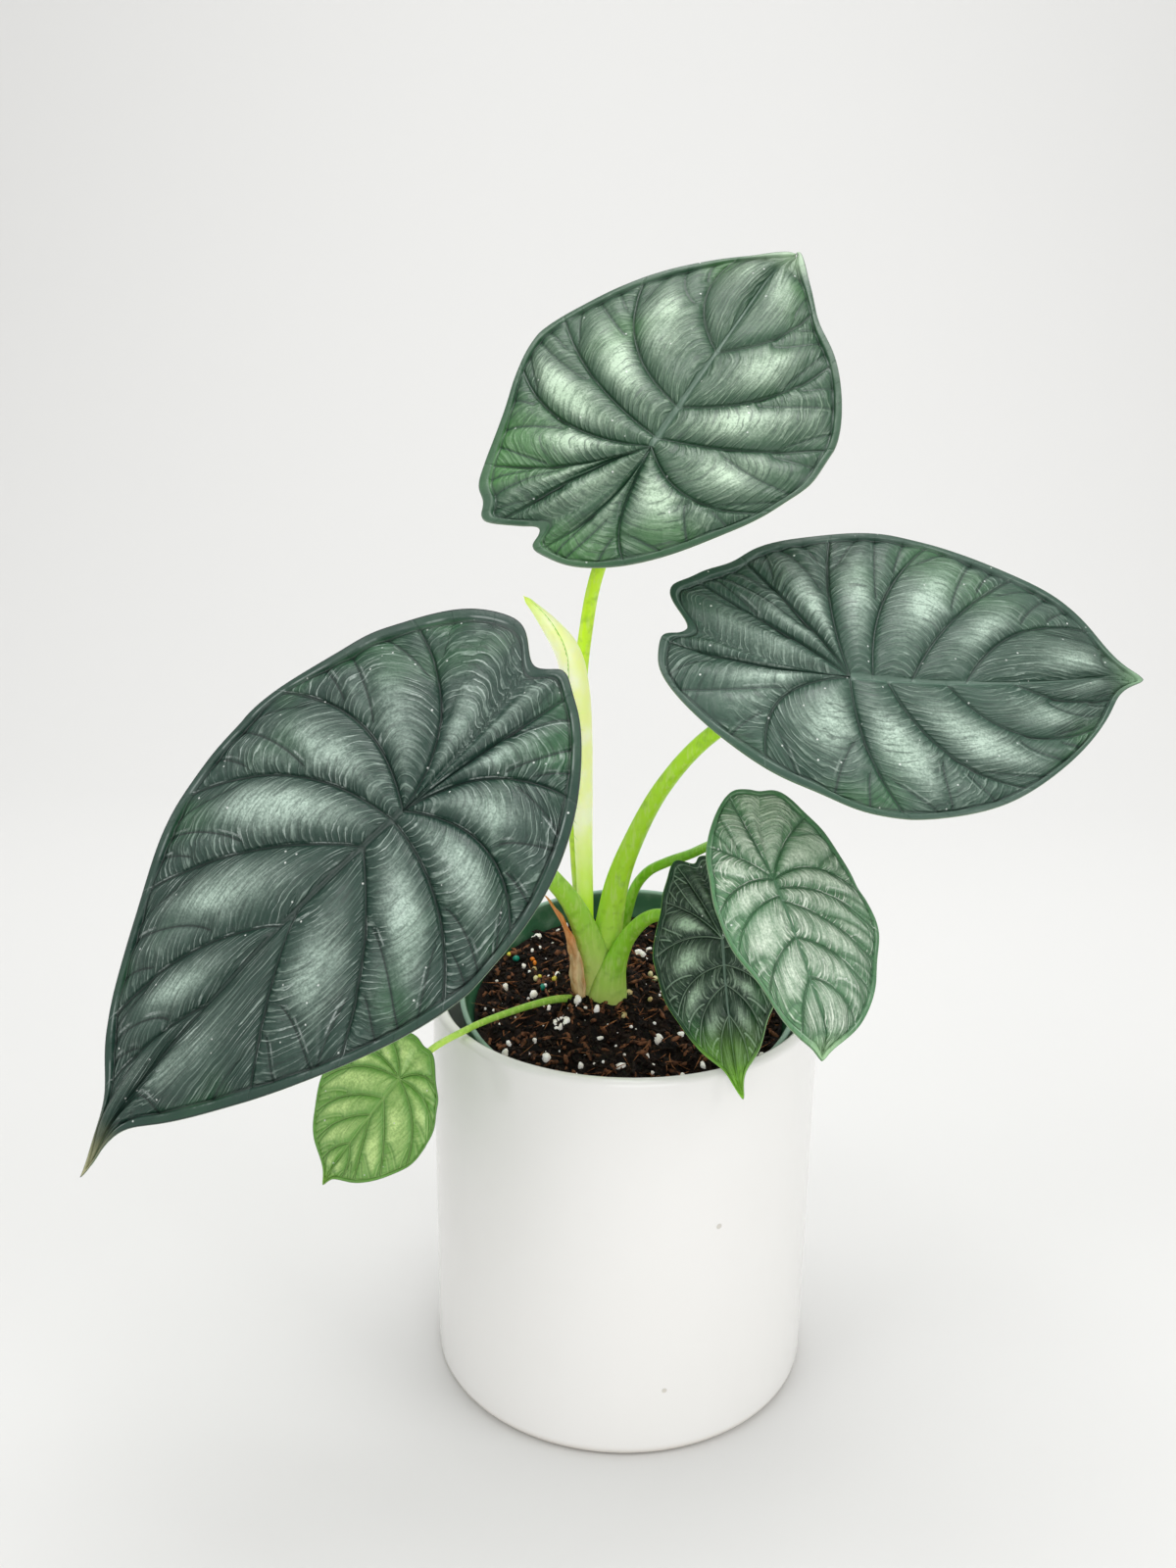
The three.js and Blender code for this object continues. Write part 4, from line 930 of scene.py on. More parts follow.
def makeStalk(name, stalk):
    # a tube whose girth follows the list smoothly, with faint lengthwise ribs
    leaf = leaves[stalk["leaf"]]
    face = leafAxes(leaf)[2]
    top = np.array(leaf["stalkTop"])
    sunk = blade["hubDip"] * leaf["quilt"] + blade["midribDepth"] * leafSize(leaf) + stalkShape["underSkin"]
    end = top - sunk * face
    foot = np.array(stalk["through"][0], float) - (0, 0, stalkShape["buried"])
    line, share, length = smoothLine([foot, *stalk["through"], end], stalkShape["steps"])
    girth = smoothGirth([stalk["girth"][0], *stalk["girth"]], share)
    angle = circle(stalkShape["around"])
    ribs = np.sin(angle * stalkShape["ribs"])[None] * softStep(*stalkShape["ribsFrom"], length)[:, None]
    # a clasping base is wider from side to side
    wide = 1 + stalk.get("oval", 0) * softStep(*stalkShape["clasp"], length)[:, None]
    oval = 1 / np.hypot(np.cos(angle)[None] / wide, np.sin(angle)[None] * wide ** 0.5)
    radius = girth[:, None] * (1 + stalkShape["rib"] * ribs) * oval
    points, faces = tube(line, radius, stalkShape["around"])
    # what would stand above the middle of the blade is pressed flat there
    height = (points - top) @ face
    near = np.linalg.norm(points - top, axis=-1) < stalkShape["pressedWithin"]
    above = np.maximum(height + sunk, 0) * near
    points = points - above[..., None] * face
    skin = skinMaterial(name + "_skin", stalkSkin, {**stalk["skin"], "Length": float(length[-1])},
                        {"Coat Weight": 0.1, "Coat Roughness": 0.3, "Subsurface Weight": 0.35,
                         "Subsurface Radius": (0.0015, 0.0025, 0.0006), "Subsurface Scale": 1.0})
    maps = {"stalkMap": pathMap(length, stalkShape["around"])}
    addPiece(name + "_fine", points.reshape(-1, 3), faces, skin, (name,), maps)


for name, stalk in stalks.items():
    makeStalk(name, stalk)
print("stalks done")


# New leaf, still rolled

newLeaf = {
    "through": [(-12.5, 4, 121), (-12.6, 2, 140), (-13, 0, 160), (-13.5, 0, 174), (-14, -1, 193),
                (-14.8, -2, 211), (-16.2, -3, 223), (-18.8, -4, 233.5), (-24, -5, 241.5), (-31.3, -6, 250)],
    "girth": [2.4, 2.4, 2.5, 2.7, 3, 3.4, 3.9, 3.9, 2.6, 0.4],
    "steps": 200, "around": 72, "lap": 0.5, "lapFrom": (35, 60), "lapEdge": (0, 0.04), "turns": 0.8,
    "firstEdge": 0.62, "pointed": (-0.002, 0.02), "thinnest": 0.05,
}

rollSkin, t, given, out = makeGroup("rollSkin", {
    "Pale": rgb(253, 255, 218), "Deep": rgb(242, 253, 164), "Line": rgb(120, 178, 36),
})
place = t.object()
lapGap, alongRoll = t.map("rollMap")
clouds = t.noise(place, 90, 3)
ribs = t.math("SINE", t.plus(t.times(alongRoll, 1.25), t.times(lapGap, 9.0)))
ribs = t.times(t.between(ribs, 0.93, 1.0), t.between(lapGap, 0.3, 0.1), t.between(alongRoll, 40, 50),
               t.between(alongRoll, 100, 85))
color = t.layered(given["Pale"], (t.between(clouds, 0.35, 0.65), given["Deep"]),
                  (t.between(alongRoll, 66, 26), rgb(196, 230, 34)),
                  (t.between(alongRoll, 118, 140), rgb(206, 242, 60)),
                  (t.between(lapGap, 0.035, 0.0), given["Line"]),
                  (t.times(ribs, 0.8), rgb(110, 150, 50)))
t.give(out, color, t.between(clouds, 0.3, 0.7, 0.35, 0.45),
       t.plus(t.times(clouds, 0.15), t.times(ribs, 0.15)))

line, share, length = smoothLine(newLeaf["through"], newLeaf["steps"])
girth = smoothGirth(newLeaf["girth"], share) * softStep(*newLeaf["pointed"], 1 - share)
# the roll's free edge winds once round: behind it the radius drops by the blade's thickness
angle = np.arange(newLeaf["around"]) / newLeaf["around"]
lap = (angle[None] - newLeaf["firstEdge"] - newLeaf["turns"] * share[:, None]) % 1
step = newLeaf["lap"] * softStep(*newLeaf["lapFrom"], length)[:, None] * np.minimum(1, girth[:, None] / 2)
radius = girth[:, None] + step * (0.5 - lap) * softStep(*newLeaf["lapEdge"], lap)
radius = np.maximum(radius, newLeaf["thinnest"])
points, faces = tube(line, radius, newLeaf["around"])
lapRows = withEnds(lap)
lengthRows = withEnds(length)[:, None] * np.ones_like(lapRows)
# the roll glows a little with its own colour: painted light standing in for light from behind
rollMaterial = skinMaterial("new_leaf_skin", rollSkin, {}, {
    "Coat Weight": 0.15, "Coat Roughness": 0.3, "Subsurface Weight": 0.5,
    "Subsurface Radius": (0.002, 0.0028, 0.0009), "Subsurface Scale": 1.0}, through=0.18)
addPiece("new_leaf_fine", points.reshape(-1, 3), faces, rollMaterial, ("new_leaf",),
         {"rollMap": np.stack([lapRows, lengthRows], -1).reshape(-1, 2)})


# Crown and dry sheath

crownShape = {"x": -8, "y": 2, "steps": 40, "around": 64,
              "profile": [(103, 0.1), (103.5, 5.5), (107, 8), (118, 8.2), (122.5, 7.8), (126, 6.4),
                          (128, 3), (128.4, 0.1)]}

barkSkin, t, given, out = makeGroup("barkSkin", {
    "Light": rgb(206, 172, 124), "Dark": rgb(120, 78, 46), "High": rgb(184, 104, 48),
    "Scale": 220.0, "High From": 9.0,
})
place = t.object()
fibre = t.noise(t.stretched(place, (1.0, 1.0, 0.25)), given["Scale"], 5, 0.65)
color = t.mix(t.between(fibre, 0.35, 0.65), given["Light"], given["Dark"])
high = t.between(t.minus(t.upright(place), given["High From"]), 0.0, 0.01, 0, 0.75)
t.give(out, t.mix(high, color, given["High"]), t.between(fibre, 0.2, 0.8, 0.6, 0.85), fibre)

profile = np.array(crownShape["profile"], float)
heights = np.linspace(profile[0, 0], profile[-1, 0], crownShape["steps"])
angle = circle(crownShape["around"])
radius = np.interp(heights, profile[:, 0], profile[:, 1])[:, None]
radius = radius * (1 + 0.05 * np.sin(angle * 3 + 1) + 0.03 * np.sin(angle * 7 + heights[:, None]))
crownLine = np.stack([crownShape["x"] + 0 * heights, crownShape["y"] + 0 * heights, heights], 1)
points, faces = tube(crownLine, radius, crownShape["around"])
crownMaterial = skinMaterial("crown_skin", barkSkin, {"Light": rgb(176, 182, 104), "Dark": rgb(134, 116, 66)},
                             {"Coat Weight": 0.0})
addPiece("crown_fine", points.reshape(-1, 3), faces, crownMaterial, ("crown",))

sheath = {
    "through": [(-15.2, -1.6, 121.3), (-15.4, -4, 130), (-16.4, -6.6, 140), (-18.9, -9.2, 150),
                (-24.4, -11.6, 160.5)],
    "halfWidth": [4.0, 4.2, 2.2, 1.5, 0.7], "curl": 0.25, "thickness": 0.5, "steps": 90, "across": 40,
    "crumple": 1.8, "crumpleSize": (1.3, 5), "crumpleFrom": (0, 6), "seed": 5,
}
line, share, length = smoothLine(sheath["through"], sheath["steps"])
half = listed(sheath["halfWidth"], share)[:, None]
outward = unit((line - np.array([crownShape["x"], crownShape["y"], 0])) * np.array([1, 1, 0]))
across = np.cross((0.0, 0.0, 1.0), outward)
offset = np.linspace(-1, 1, sheath["across"])[None] * half
foldAcross, foldAlong = sheath["crumpleSize"]
crumple = valueNoise(offset / foldAcross + 20, length[:, None] / foldAlong + 20, sheath["seed"]) - 0.5
crumple = sheath["crumple"] * crumple * softStep(*sheath["crumpleFrom"], length)[:, None]
bend = -sheath["curl"] * offset ** 2 / half + crumple
middle = line[:, None] + across[:, None] * offset[..., None] + outward[:, None] * bend[..., None]
skinUp = outward[:, None] * (0.5 * sheath["thickness"])
loop = np.concatenate([middle + skinUp, (middle - skinUp)[:, ::-1]], axis=1)
caps = loop.mean(axis=1, keepdims=True) * np.ones((1, loop.shape[1], 1))
loop = np.concatenate([caps[:1], loop, caps[-1:]])
sheathColors = {"Light": rgb(250, 222, 172), "Dark": rgb(210, 152, 96), "High": rgb(238, 140, 54),
                "Scale": 300.0, "High From": 0.14}
sheathMaterial = skinMaterial("dry_sheath_skin", barkSkin, sheathColors, {"Coat Weight": 0.0})
addPiece("dry_sheath_fine", loop.reshape(-1, 3), gridFaces(len(loop), loop.shape[1], wrap=True),
         sheathMaterial, ("dry_sheath",))
print("new leaf, crown and sheath done")


# Pots

def arc(centre, radius, start, end, count=9):
    # points on a circle from one angle in degrees to another
    turn = np.radians(np.linspace(start, end, count))
    return np.stack([centre[0] + radius * np.cos(turn), centre[1] + radius * np.sin(turn)], 1)


def denser(profile, step):
    # extra points along a profile's long straight parts
    rows = [profile[:1]]
    for a, b in zip(profile[:-1], profile[1:]):
        count = max(1, int(np.linalg.norm(b - a) / step))
        rows.append(a + (b - a) * (np.arange(1, count + 1) / count)[:, None])
    return np.concatenate(rows)


def turned(profile, around):
    # a profile of radius and height turned round the upright axis
    angle = circle(around)
    r, z = profile[:, :1], profile[:, 1:]
    points = np.stack([r * np.cos(angle), r * np.sin(angle), z * np.ones_like(angle)], -1)
    return points.reshape(-1, 3), gridFaces(len(profile), around, wrap=True)


coverPot = {"radius": 60, "height": 125.6, "wall": 4, "floor": 8, "lip": 1.8, "foot": 3, "cove": 6,
            "around": 200}
r, h, w = coverPot["radius"], coverPot["height"], coverPot["wall"]
lip, foot, cove, floorZ = coverPot["lip"], coverPot["foot"], coverPot["cove"], coverPot["floor"]
profile = np.concatenate([
    [[0, 0]], arc((r - foot, foot), foot, -90, 0), arc((r - lip, h - lip), lip, 0, 90),
    arc((r - w + lip, h - lip), lip, 90, 180), arc((r - w - cove, floorZ + cove), cove, 0, -90),
    [[0, floorZ]],
])
glaze, t, given, out = makeGroup("glazeSkin", {"White": rgb(237, 236, 234)})
place = t.object()
cloud = t.noise(place, 14, 3)
pit = t.spots(place, 70.0, 0.075, 0.045, (0.93, 0.94))
# the lowest 4 mm are a darker warm grey: painted shade at the foot
color = t.layered(given["White"], (t.between(cloud, 0.3, 0.7, 0, 0.3), rgb(232, 231, 227)),
                  (t.between(t.upright(place), 0.004, 0.0005, 0, 0.8), rgb(200, 192, 180)),
                  (t.times(pit, 0.5), rgb(176, 166, 150)))
t.give(out, color, t.between(cloud, 0.3, 0.7, 0.16, 0.24), t.plus(cloud, t.times(pit, -0.3)))
glazeMaterial = skinMaterial("cover_pot_glaze", glaze, {}, {"Coat Weight": 0.3, "Coat Roughness": 0.08},
                             relief=0.4)
points, faces = turned(denser(profile, step=4), coverPot["around"])
addPiece("cover_pot_fine", points, faces, glazeMaterial, ("cover_pot",))

nursery = {
    "rimRadius": 52.3, "baseRadius": 33, "height": 116.7, "wall": 1.3, "rimWall": 1.7, "floor": 1.5,
    "chamfer": 1, "bandHeight": 11, "bandStep": 1.5, "rimCentre": (1, -4.4, 129.4), "leanDegrees": 13,
    "holes": 6, "holeRadius": 4, "holeRing": 22, "drillPast": 3, "around": 192,
    "drillSides": 24, "crestBand": (1.6, 0.2),
}
lean = math.radians(nursery["leanDegrees"])
leanAxis = np.array([0, -math.sin(lean), math.cos(lean)])
leanTurn = np.array([[1, 0, 0], [0, math.cos(lean), math.sin(lean)], [0, -math.sin(lean), math.cos(lean)]])
leanBase = np.array(nursery["rimCentre"]) - leanAxis * nursery["height"]


def leaned(points):
    # from the nursery pot's own frame to the object's
    return points @ leanTurn + leanBase


def nurseryRadius(z):
    # the wall widens evenly from the base to the rim's height
    widening = nursery["rimRadius"] - nursery["bandStep"] - nursery["baseRadius"]
    return nursery["baseRadius"] + widening * z / nursery["height"]


n = nursery
bandZ = n["height"] - n["bandHeight"]
neck = nurseryRadius(bandZ)
rimMid = n["rimRadius"] - n["rimWall"] / 2
profile = np.concatenate([
    [[0, 0], [n["baseRadius"] - n["chamfer"], 0], [n["baseRadius"], n["chamfer"]], [neck, bandZ],
     [neck + n["bandStep"], bandZ + n["chamfer"]]],
    arc((rimMid, n["height"] - n["rimWall"] / 2), n["rimWall"] / 2, 0, 180, 11),
    [[neck + n["bandStep"] - n["wall"], bandZ + n["bandStep"]], [neck - n["wall"], bandZ],
     [nurseryRadius(n["floor"]) - n["wall"], n["floor"]], [0, n["floor"]]],
])
plastic, t, given, out = makeGroup("plasticSkin", {"Body": rgb(62, 112, 82), "Rim Crest": rgb(136, 168, 150)})
place = t.object()
rimShare, _ = t.map("potMap")
dust = t.noise(place, 180, 4, 0.6)
# paler on the top of the rim
color = t.mix(t.between(rimShare, 0.3, 0.9), given["Body"], given["Rim Crest"])
color = t.mix(t.between(dust, 0.5, 0.8, 0, 0.35), color, rgb(150, 170, 158))
t.give(out, color, t.between(dust, 0.3, 0.7, 0.36, 0.5), dust)
plasticMaterial = skinMaterial("nursery_pot_plastic", plastic, {}, {"Coat Weight": 0.0}, relief=0.15)
dense = denser(profile, step=3)
points, faces = turned(dense, nursery["around"])
rimRows = softStep(*(n["height"] - below for below in n["crestBand"]), dense[:, 1])[:, None]
rimRows = rimRows * np.ones((1, n["around"]))
potMap = np.stack([rimRows, rimRows], -1).reshape(-1, 2)
nurseryPiece = addPiece("nursery_pot_fine", leaned(points), faces, plasticMaterial,
                        ("nursery_pot",), {"potMap": potMap})


def cutDrains(piece):
    # plain holes through the floor, cut with one Boolean
    drill = bpy.data.meshes.new("drill")
    spots, sides, count = [], [], 0
    for turn in circle(nursery["holes"]):
        x, y = nursery["holeRing"] * math.cos(turn), nursery["holeRing"] * math.sin(turn)
        at = np.array([[x, y, -nursery["drillPast"]], [x, y, nursery["floor"] + nursery["drillPast"]]])
        drillPoints, drillFaces = tube(at, nursery["holeRadius"], nursery["drillSides"])
        sides.append(drillFaces + count)
        spots.append(drillPoints.reshape(-1, 3))
        count += len(spots[-1])
    places, joined, _ = weld(leaned(np.concatenate(spots)), np.concatenate(sides))
    drill.from_pydata((places * mm).tolist(), [], joined.tolist())
    cutter = linked("drill", drill)
    cut = piece.modifiers.new("drains", "BOOLEAN")
    cut.object, cut.operation, cut.solver = cutter, "DIFFERENCE", "EXACT"
    graph = bpy.context.evaluated_depsgraph_get()
    mesh = bpy.data.meshes.new_from_object(piece.evaluated_get(graph))
    piece.modifiers.clear()
    piece.data = mesh
    bpy.data.objects.remove(cutter)
    bpy.data.meshes.remove(drill)


cutDrains(nurseryPiece)
print("pots done")


# Soil and what lies on it

# waves: height, then pace and shift along x and along y. clods: height, size and seed
soil = {
    "belowRim": 9, "clearance": 0.2, "rings": 112, "around": 340,
    "waves": [(0.65, 0.21, 1.3, 0.19, -0.4), (0.4, 0.43, 2, 0.37, 0.6), (0.45, 0.9, 0.5, 0.83, -0.5)],
    "wavesFrom": (5, 14), "clods": [(1.2, 4.5, 21), (1.1, 2.2, 22), (0.7, 1.1, 23)], "clodsFrom": (4, 12),
    "mound": 5.2, "moundWidth": 17, "moundAt": (-7, 1), "wallLevels": 12, "aboveFloor": 0.3,
    "levelEdge": (0.5, -2), "bareEdge": 1.5, "bareAt": (-7, 4), "bareReach": 8,
}
soilTop = nursery["height"] - soil["belowRim"]


def soilHeight(x, y):
    # sines across cosines, then clods of three sizes as value noise, and a low bell at the crown
    z = sum(a * np.sin(x * b + c) * np.cos(y * d + e) for a, b, c, d, e in soil["waves"])
    away = np.hypot(x - soil["moundAt"][0], y - soil["moundAt"][1])
    z = z * softStep(*soil["wavesFrom"], away) + soil["mound"] * hill(away, soil["moundWidth"])
    clods = sum(a * (2 * valueNoise(x / s + 90, y / s + 90, seed) - 1) for a, s, seed in soil["clods"])
    return z + clods * softStep(*soil["clodsFrom"], away)


soilSkin, t, given, out = makeGroup("soilSkin", {
    "Black": rgb(14, 10, 8), "Brown": rgb(46, 31, 23), "Red": rgb(96, 60, 38),
})
place = t.object()
clod = t.noise(place, 260, 6, 0.7)
fleck = t.noise(place, 700, 3, 0.6)
color = t.mix(t.between(clod, 0.42, 0.66), given["Black"], given["Brown"])
color = t.mix(t.between(fleck, 0.6, 0.74, 0, 0.6), color, given["Red"])
t.give(out, color, t.between(clod, 0.2, 0.8, 0.75, 0.95), t.plus(clod, t.times(fleck, 0.5)))
soilMaterial = skinMaterial("soil_skin", soilSkin, {}, {"Specular IOR Level": 0.25}, relief=1.2)


def soilRadius(z):
    # the soil fills the nursery pot's wall with a little play
    return nurseryRadius(z) - nursery["wall"] - soil["clearance"]


edge = soilRadius(soilTop)
rings = np.linspace(1, 0, soil["rings"])[:, None] * edge
angle = circle(soil["around"])[None]
x, y = rings * np.cos(angle), rings * np.sin(angle)
inside = softStep(*(edge + beyond for beyond in soil["levelEdge"]), rings)
top = np.stack([x, y, soilTop + soilHeight(x, y) * inside], -1)
lowZ = nursery["floor"] + soil["aboveFloor"]
levelZ = np.linspace(lowZ, bandZ, soil["wallLevels"])[1:, None]
levels = np.concatenate([[[0, lowZ], [soilRadius(lowZ), lowZ]],
                         np.concatenate([soilRadius(levelZ), levelZ], 1)])
walls = np.stack([levels[:, :1] * np.cos(angle), levels[:, :1] * np.sin(angle),
                  levels[:, 1:] * np.ones_like(angle)], -1)
points = np.concatenate([walls, top])
addPiece("soil_fine", leaned(points.reshape(-1, 3)), gridFaces(len(points), soil["around"], wrap=True),
         soilMaterial, ("soil",))


def scattered(count, draws):
    # places on the soil, evenly spread: three times as many are drawn, and those off the crown kept
    radius = (edge - soil["bareEdge"]) * np.sqrt(draws.random(3 * count))
    turn = draws.uniform(0, 2 * np.pi, 3 * count)
    spots = np.stack([radius * np.cos(turn), radius * np.sin(turn)], -1)
    away = np.linalg.norm(spots - soil["bareAt"], axis=1)
    return spots[away > soil["bareReach"]][:count]


def onSoil(spots, lift):
    # centres on the soil's surface, raised by lift, with room for the rows and columns of each piece
    height = soilHeight(spots[:, 0], spots[:, 1]) + soilTop + lift
    return np.stack([spots[:, 0], spots[:, 1], height], -1)[:, None, None]


def batch(points):
    # points of many like pieces, piece by piece, each closed round its own rows
    count, rows, around, _ = points.shape
    starts = (np.arange(count) * rows * around)[:, None, None]
    return leaned(points.reshape(-1, 3)), (gridFaces(rows, around, wrap=True)[None] + starts).reshape(-1, 3)


def turnedAtRandom(count, draws, flatness):
    # one rotation for each, near flat on the soil where flatness is near 1
    heading = draws.uniform(0, 2 * np.pi, count)
    tilt = draws.normal(0, 1 - flatness, count)
    roll = draws.uniform(0, 2 * np.pi, count)
    ch, sh, ct, st = np.cos(heading), np.sin(heading), np.cos(tilt), np.sin(tilt)
    long = np.stack([ch * ct, sh * ct, st], -1)
    side = np.stack([-sh, ch, np.zeros(count)], -1)
    up = np.cross(long, side)
    cr, sr = np.cos(roll)[:, None], np.sin(roll)[:, None]
    return long, cr * side + sr * up, -sr * side + cr * up


fibreShape = {"rows": 5, "around": 5, "flatness": 0.78, "end": 0.02, "taper": 1.2, "rough": (0.6, 1.4),
              "flat": 0.7, "lift": (-0.1, 0.5)}
grainShape = {"rows": 6, "around": 8, "waves": 4, "pace": 3.2, "stretch": (0.75, 1.25)}


def fibres(count, lengths, girths, seed, bends):
    # short bent rods of five sides, thin at both ends
    draws = np.random.default_rng(seed)
    spots = scattered(count, draws)
    long, side, up = turnedAtRandom(count, draws, fibreShape["flatness"])
    size = draws.uniform(*lengths, count)[:, None, None]
    girth = draws.uniform(*girths, count)[:, None, None]
    rows, around = fibreShape["rows"], fibreShape["around"]
    share = np.linspace(-0.5, 0.5, rows)[None, :, None]
    q = circle(around)[None, None, :]
    bend = draws.uniform(*bends, count)[:, None, None]
    along = share * size * np.ones_like(q)
    taper = np.where(np.abs(share) == 0.5, fibreShape["end"], 1 - fibreShape["taper"] * share ** 2) * girth
    rough = draws.uniform(*fibreShape["rough"], (count, rows, around))
    a = taper * np.cos(q) * rough + bend * size * share ** 2
    b = taper * np.sin(q) * rough * fibreShape["flat"]
    centre = onSoil(spots, draws.uniform(*fibreShape["lift"], count))
    points = (centre + along[..., None] * long[:, None, None] + a[..., None] * side[:, None, None]
              + b[..., None] * up[:, None, None])
    ends = points[:, [0, -1]].mean(axis=2, keepdims=True) * np.ones((1, 1, around, 1))
    return batch(np.concatenate([ends[:, :1], points, ends[:, 1:]], axis=1))


def grains(spots, sizes, seed, lumpiness, sink):
    # small lumpy balls: radius x (1 + lumps) round each centre
    draws = np.random.default_rng(seed)
    count = len(spots)
    rows, around, waves = (grainShape[key] for key in ("rows", "around", "waves"))
    lat = np.linspace(-np.pi / 2, np.pi / 2, rows)[:, None]
    lon = circle(around)[None]
    ball = np.stack([np.cos(lat) * np.cos(lon), np.cos(lat) * np.sin(lon), np.sin(lat) + 0 * lon], -1)
    lumps = np.zeros((count, rows, around))
    for _ in range(waves):
        way = unit(draws.normal(size=(count, 3)))
        shift = draws.uniform(0, 6, count)[:, None, None]
        lumps += np.sin(grainShape["pace"] * np.einsum("rak,ck->cra", ball, way) + shift)
    stretch = draws.uniform(*grainShape["stretch"], (count, 1, 1, 3))
    points = ball[None] * (sizes[:, None, None] * (1 + lumpiness * lumps / waves))[..., None] * stretch
    return batch(points + onSoil(spots, sizes * sink))


def plainMaterial(name, light, dark, scale, shine, relief, through=0.0):
    # two colours by noise, with a little relief, and a painted glow where through is given
    return skinMaterial(name, barkSkin, {"Light": light, "Dark": dark, "Scale": scale},
                        {"Specular IOR Level": shine}, relief, through)


litter = {
    "soil_crumbs": {"count": 2500, "lengths": (1.0, 3.6), "girths": (0.25, 0.8), "seed": 31,
                    "bends": (-0.15, 0.15), "light": rgb(40, 27, 21), "dark": rgb(12, 9, 7)},
    "soil_bark": {"count": 480, "lengths": (1.6, 6.0), "girths": (0.35, 1.0), "seed": 32,
                  "bends": (-0.2, 0.2), "light": rgb(140, 92, 64), "dark": rgb(48, 29, 20)},
    "soil_fibres": {"count": 260, "lengths": (4.0, 13.0), "girths": (0.12, 0.26), "seed": 33,
                    "bends": (-0.5, 0.5), "light": rgb(178, 118, 78), "dark": rgb(84, 50, 32)},
}
for name, bits in litter.items():
    points, faces = fibres(*(bits[key] for key in ("count", "lengths", "girths", "seed", "bends")))
    skin = plainMaterial(name + "_skin", bits["light"], bits["dark"], scale=420.0, shine=0.2, relief=0.3)
    addPiece(name, points, faces, skin)

# perlite: a few big lumps where the photo shows them, a ring of small ones, the rest strewn
perlite = {
    "seen": [(-34.2, 17.7), (-15.9, 6.5), (-15.8, -3), (-29.8, 2.6), (-24.6, -3.6), (-9.6, -9.2),
             (-24, -26), (-1.9, -29.4), (5.5, -23.8), (9.3, -16.9), (-13.8, -27.6), (-35.8, -19.8),
             (3, 27), (4.5, 23), (6.5, 30), (-22.8, 12), (-30.5, 33), (-21.5, 39.5)],
    "seenSizes": (0.9, 1.4), "ringAt": (-20.4, -11.8), "ringReach": (1.8, 2.2), "ringCount": 8,
    "ringSizes": (0.7, 0.95), "big": 30, "bigSizes": (0.5, 1.1), "fine": 140, "fineSizes": (0.2, 0.55),
}
draws = np.random.default_rng(41)
seen, turn = np.array(perlite["seen"]), circle(perlite["ringCount"])[:, None]
ring = np.array(perlite["ringAt"]) + perlite["ringReach"] * np.concatenate([np.cos(turn), np.sin(turn)], 1)
spots = np.concatenate([seen, ring, scattered(perlite["big"] + perlite["fine"], draws)])
sizes = np.concatenate([draws.uniform(*perlite[key], count) for key, count in (
    ("seenSizes", len(seen)), ("ringSizes", len(ring)), ("bigSizes", perlite["big"]),
    ("fineSizes", perlite["fine"]))])
points, faces = grains(spots, sizes, seed=42, lumpiness=0.5, sink=0.4)
# the perlite gives off a little of its own white as light: a painted glow
skin = plainMaterial("perlite_skin", rgb(255, 254, 252), rgb(232, 226, 214), scale=600.0, shine=0.3,
                     relief=0.3, through=0.2)
addPiece("soil_perlite", points, faces, skin)

vermiculite = {"count": 14, "sizes": (0.6, 1.2)}
spots = scattered(vermiculite["count"], draws)
sizes = draws.uniform(*vermiculite["sizes"], vermiculite["count"])
points, faces = grains(spots, sizes, seed=43, lumpiness=0.4, sink=0.3)
skin = plainMaterial("vermiculite_skin", rgb(232, 214, 160), rgb(190, 156, 100), scale=500.0, shine=0.4,
                     relief=0.4)
addPiece("soil_vermiculite", points, faces, skin)

# coated fertiliser grains
prills = {
    "prill_teal": {"at": [(-36.6, 20.2), (-27.2, 6.6)], "radius": 1.1, "tone": rgb(0, 138, 118)},
    "prill_yellow": {"at": [(-39.3, 24.5), (-28.6, 13.4), (-23.6, 10.2)], "radius": 0.9,
                     "tone": rgb(238, 222, 84)},
    "prill_orange": {"at": [(-31.5, 22.4), (-30.6, 20.6)], "radius": 0.8, "tone": rgb(236, 134, 36)},
    "prill_cream": {"at": [(-29.6, 11), (7, 15.5), (8.4, 14)], "radius": 1.0, "tone": rgb(238, 226, 176)},
}
for name, prill in prills.items():
    spots = np.array(prill["at"], float)
    points, faces = grains(spots, np.full(len(spots), prill["radius"]), seed=44, lumpiness=0.05, sink=0.7)
    skin, _, _ = newMaterial(name + "_skin", {"Base Color": prill["tone"], "Roughness": 0.35})
    addPiece(name, points, faces, skin)
print("soil done")


# Stage, light and camera

studio = {
    "floor": rgb(222, 222, 221), "halfWidth": 3000, "front": -1600, "back": 1500, "rise": 2600, "bend": 900,
    "bendPoints": 24, "below": 0.05,
    "world": 0.62, "worldColor": (1.0, 0.995, 0.98, 1.0),
}
s = studio
bendLine = arc((s["back"] - s["bend"], s["bend"]), s["bend"], -90, 0, s["bendPoints"])
sweep = np.concatenate([[[s["front"], 0], [s["back"] - s["bend"], 0]], bendLine, [[s["back"], s["rise"]]]])
points = np.stack([np.stack([np.full(len(sweep), x), sweep[:, 0], sweep[:, 1] - s["below"]], -1)
                   for x in (-s["halfWidth"], s["halfWidth"])], 1)
mesh = bpy.data.meshes.new("studioSweep")
mesh.from_pydata((points.reshape(-1, 3) * mm).tolist(), [], gridFaces(len(sweep), 2).tolist())
mesh.polygons.foreach_set("use_smooth", np.full(len(mesh.polygons), True))
sweepPiece = linked("studioSweep", mesh)
paper, _, _ = newMaterial("studio_paper", {"Base Color": s["floor"], "Roughness": 0.9,
                                           "Specular IOR Level": 0.1})
mesh.materials.append(paper)

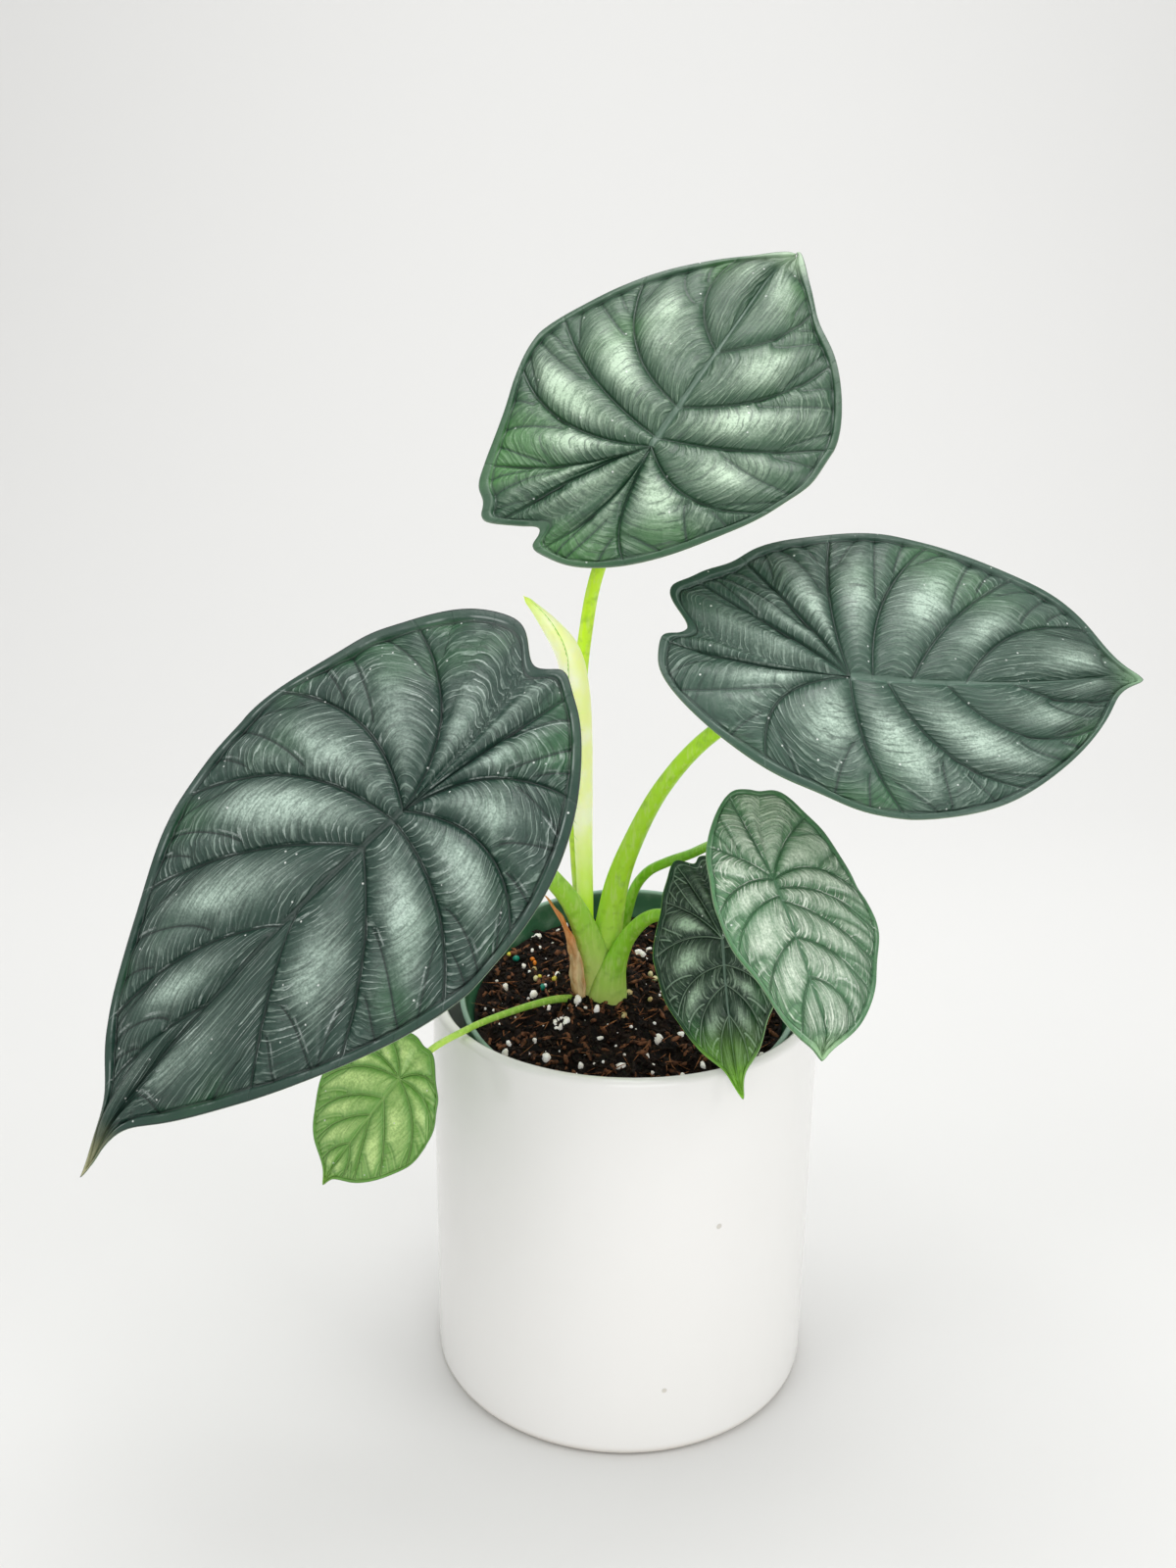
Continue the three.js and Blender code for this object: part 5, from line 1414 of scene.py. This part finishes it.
world = bpy.data.worlds.new("studioWorld")
world.use_nodes = True
background = world.node_tree.nodes["Background"].inputs
background["Color"].default_value, background["Strength"].default_value = s["worldColor"], s["world"]
bpy.context.scene.world = world

lamps = {
    "keyLamp": {"at": (0.95, -0.5, 0.95), "size": 0.6, "watts": 3.6},
    "leftLamp": {"at": (-0.74, -0.62, 1.16), "size": 0.6, "watts": 3.4},
    "wallLamp": {"at": (0.0, 0.35, 1.5), "size": 1.2, "watts": 7.2, "towards": (0, 1.5, 0.8)},
    "frontLamp": {"at": (0.25, -1.25, 0.32), "size": 0.8, "watts": 4.0},
    "topLamp": {"at": (0.08, 0.1, 1.35), "size": 0.8, "watts": 6},
}
target = (0, -0.02, 0.18)


def stand(thing, at, axes):
    # places a lamp or the camera, its own axes given as columns
    thing.matrix_world = Matrix.LocRotScale(at, Matrix(np.stack(axes, 1).tolist()), None)


for name, lamp in lamps.items():
    data = bpy.data.lights.new(name, "AREA")
    data.size, data.energy = lamp["size"], lamp["watts"]
    back = unit(np.array(lamp["at"]) - np.array(lamp.get("towards", target)))
    side = unit(np.cross((0.0, 0.0, 1.0), back))
    stand(linked(name, data), lamp["at"], [side, np.cross(back, side), back])

view = {"at": (0, -0.421, 0.323), "pitch": 17.23, "yaw": -1.69, "roll": 0.65, "lens": 33.75,
        "sensor": 36}
pitch, yaw, roll = (math.radians(view[k]) for k in ("pitch", "yaw", "roll"))
forward = np.array([math.sin(yaw) * math.cos(pitch), math.cos(yaw) * math.cos(pitch), -math.sin(pitch)])
level = np.array([math.cos(yaw), -math.sin(yaw), 0.0])
upright = np.cross(level, forward)
right = math.cos(roll) * level + math.sin(roll) * upright
upward = -math.sin(roll) * level + math.cos(roll) * upright
cameraData = bpy.data.cameras.new("photoView")
cameraData.lens, cameraData.sensor_width, cameraData.sensor_fit = view["lens"], view["sensor"], "AUTO"
camera = linked("photoView", cameraData)
stand(camera, view["at"], [right, upward, -forward])
bpy.context.scene.camera = camera
bpy.context.scene.view_settings.view_transform = "Standard"
print("stage, light and camera done")
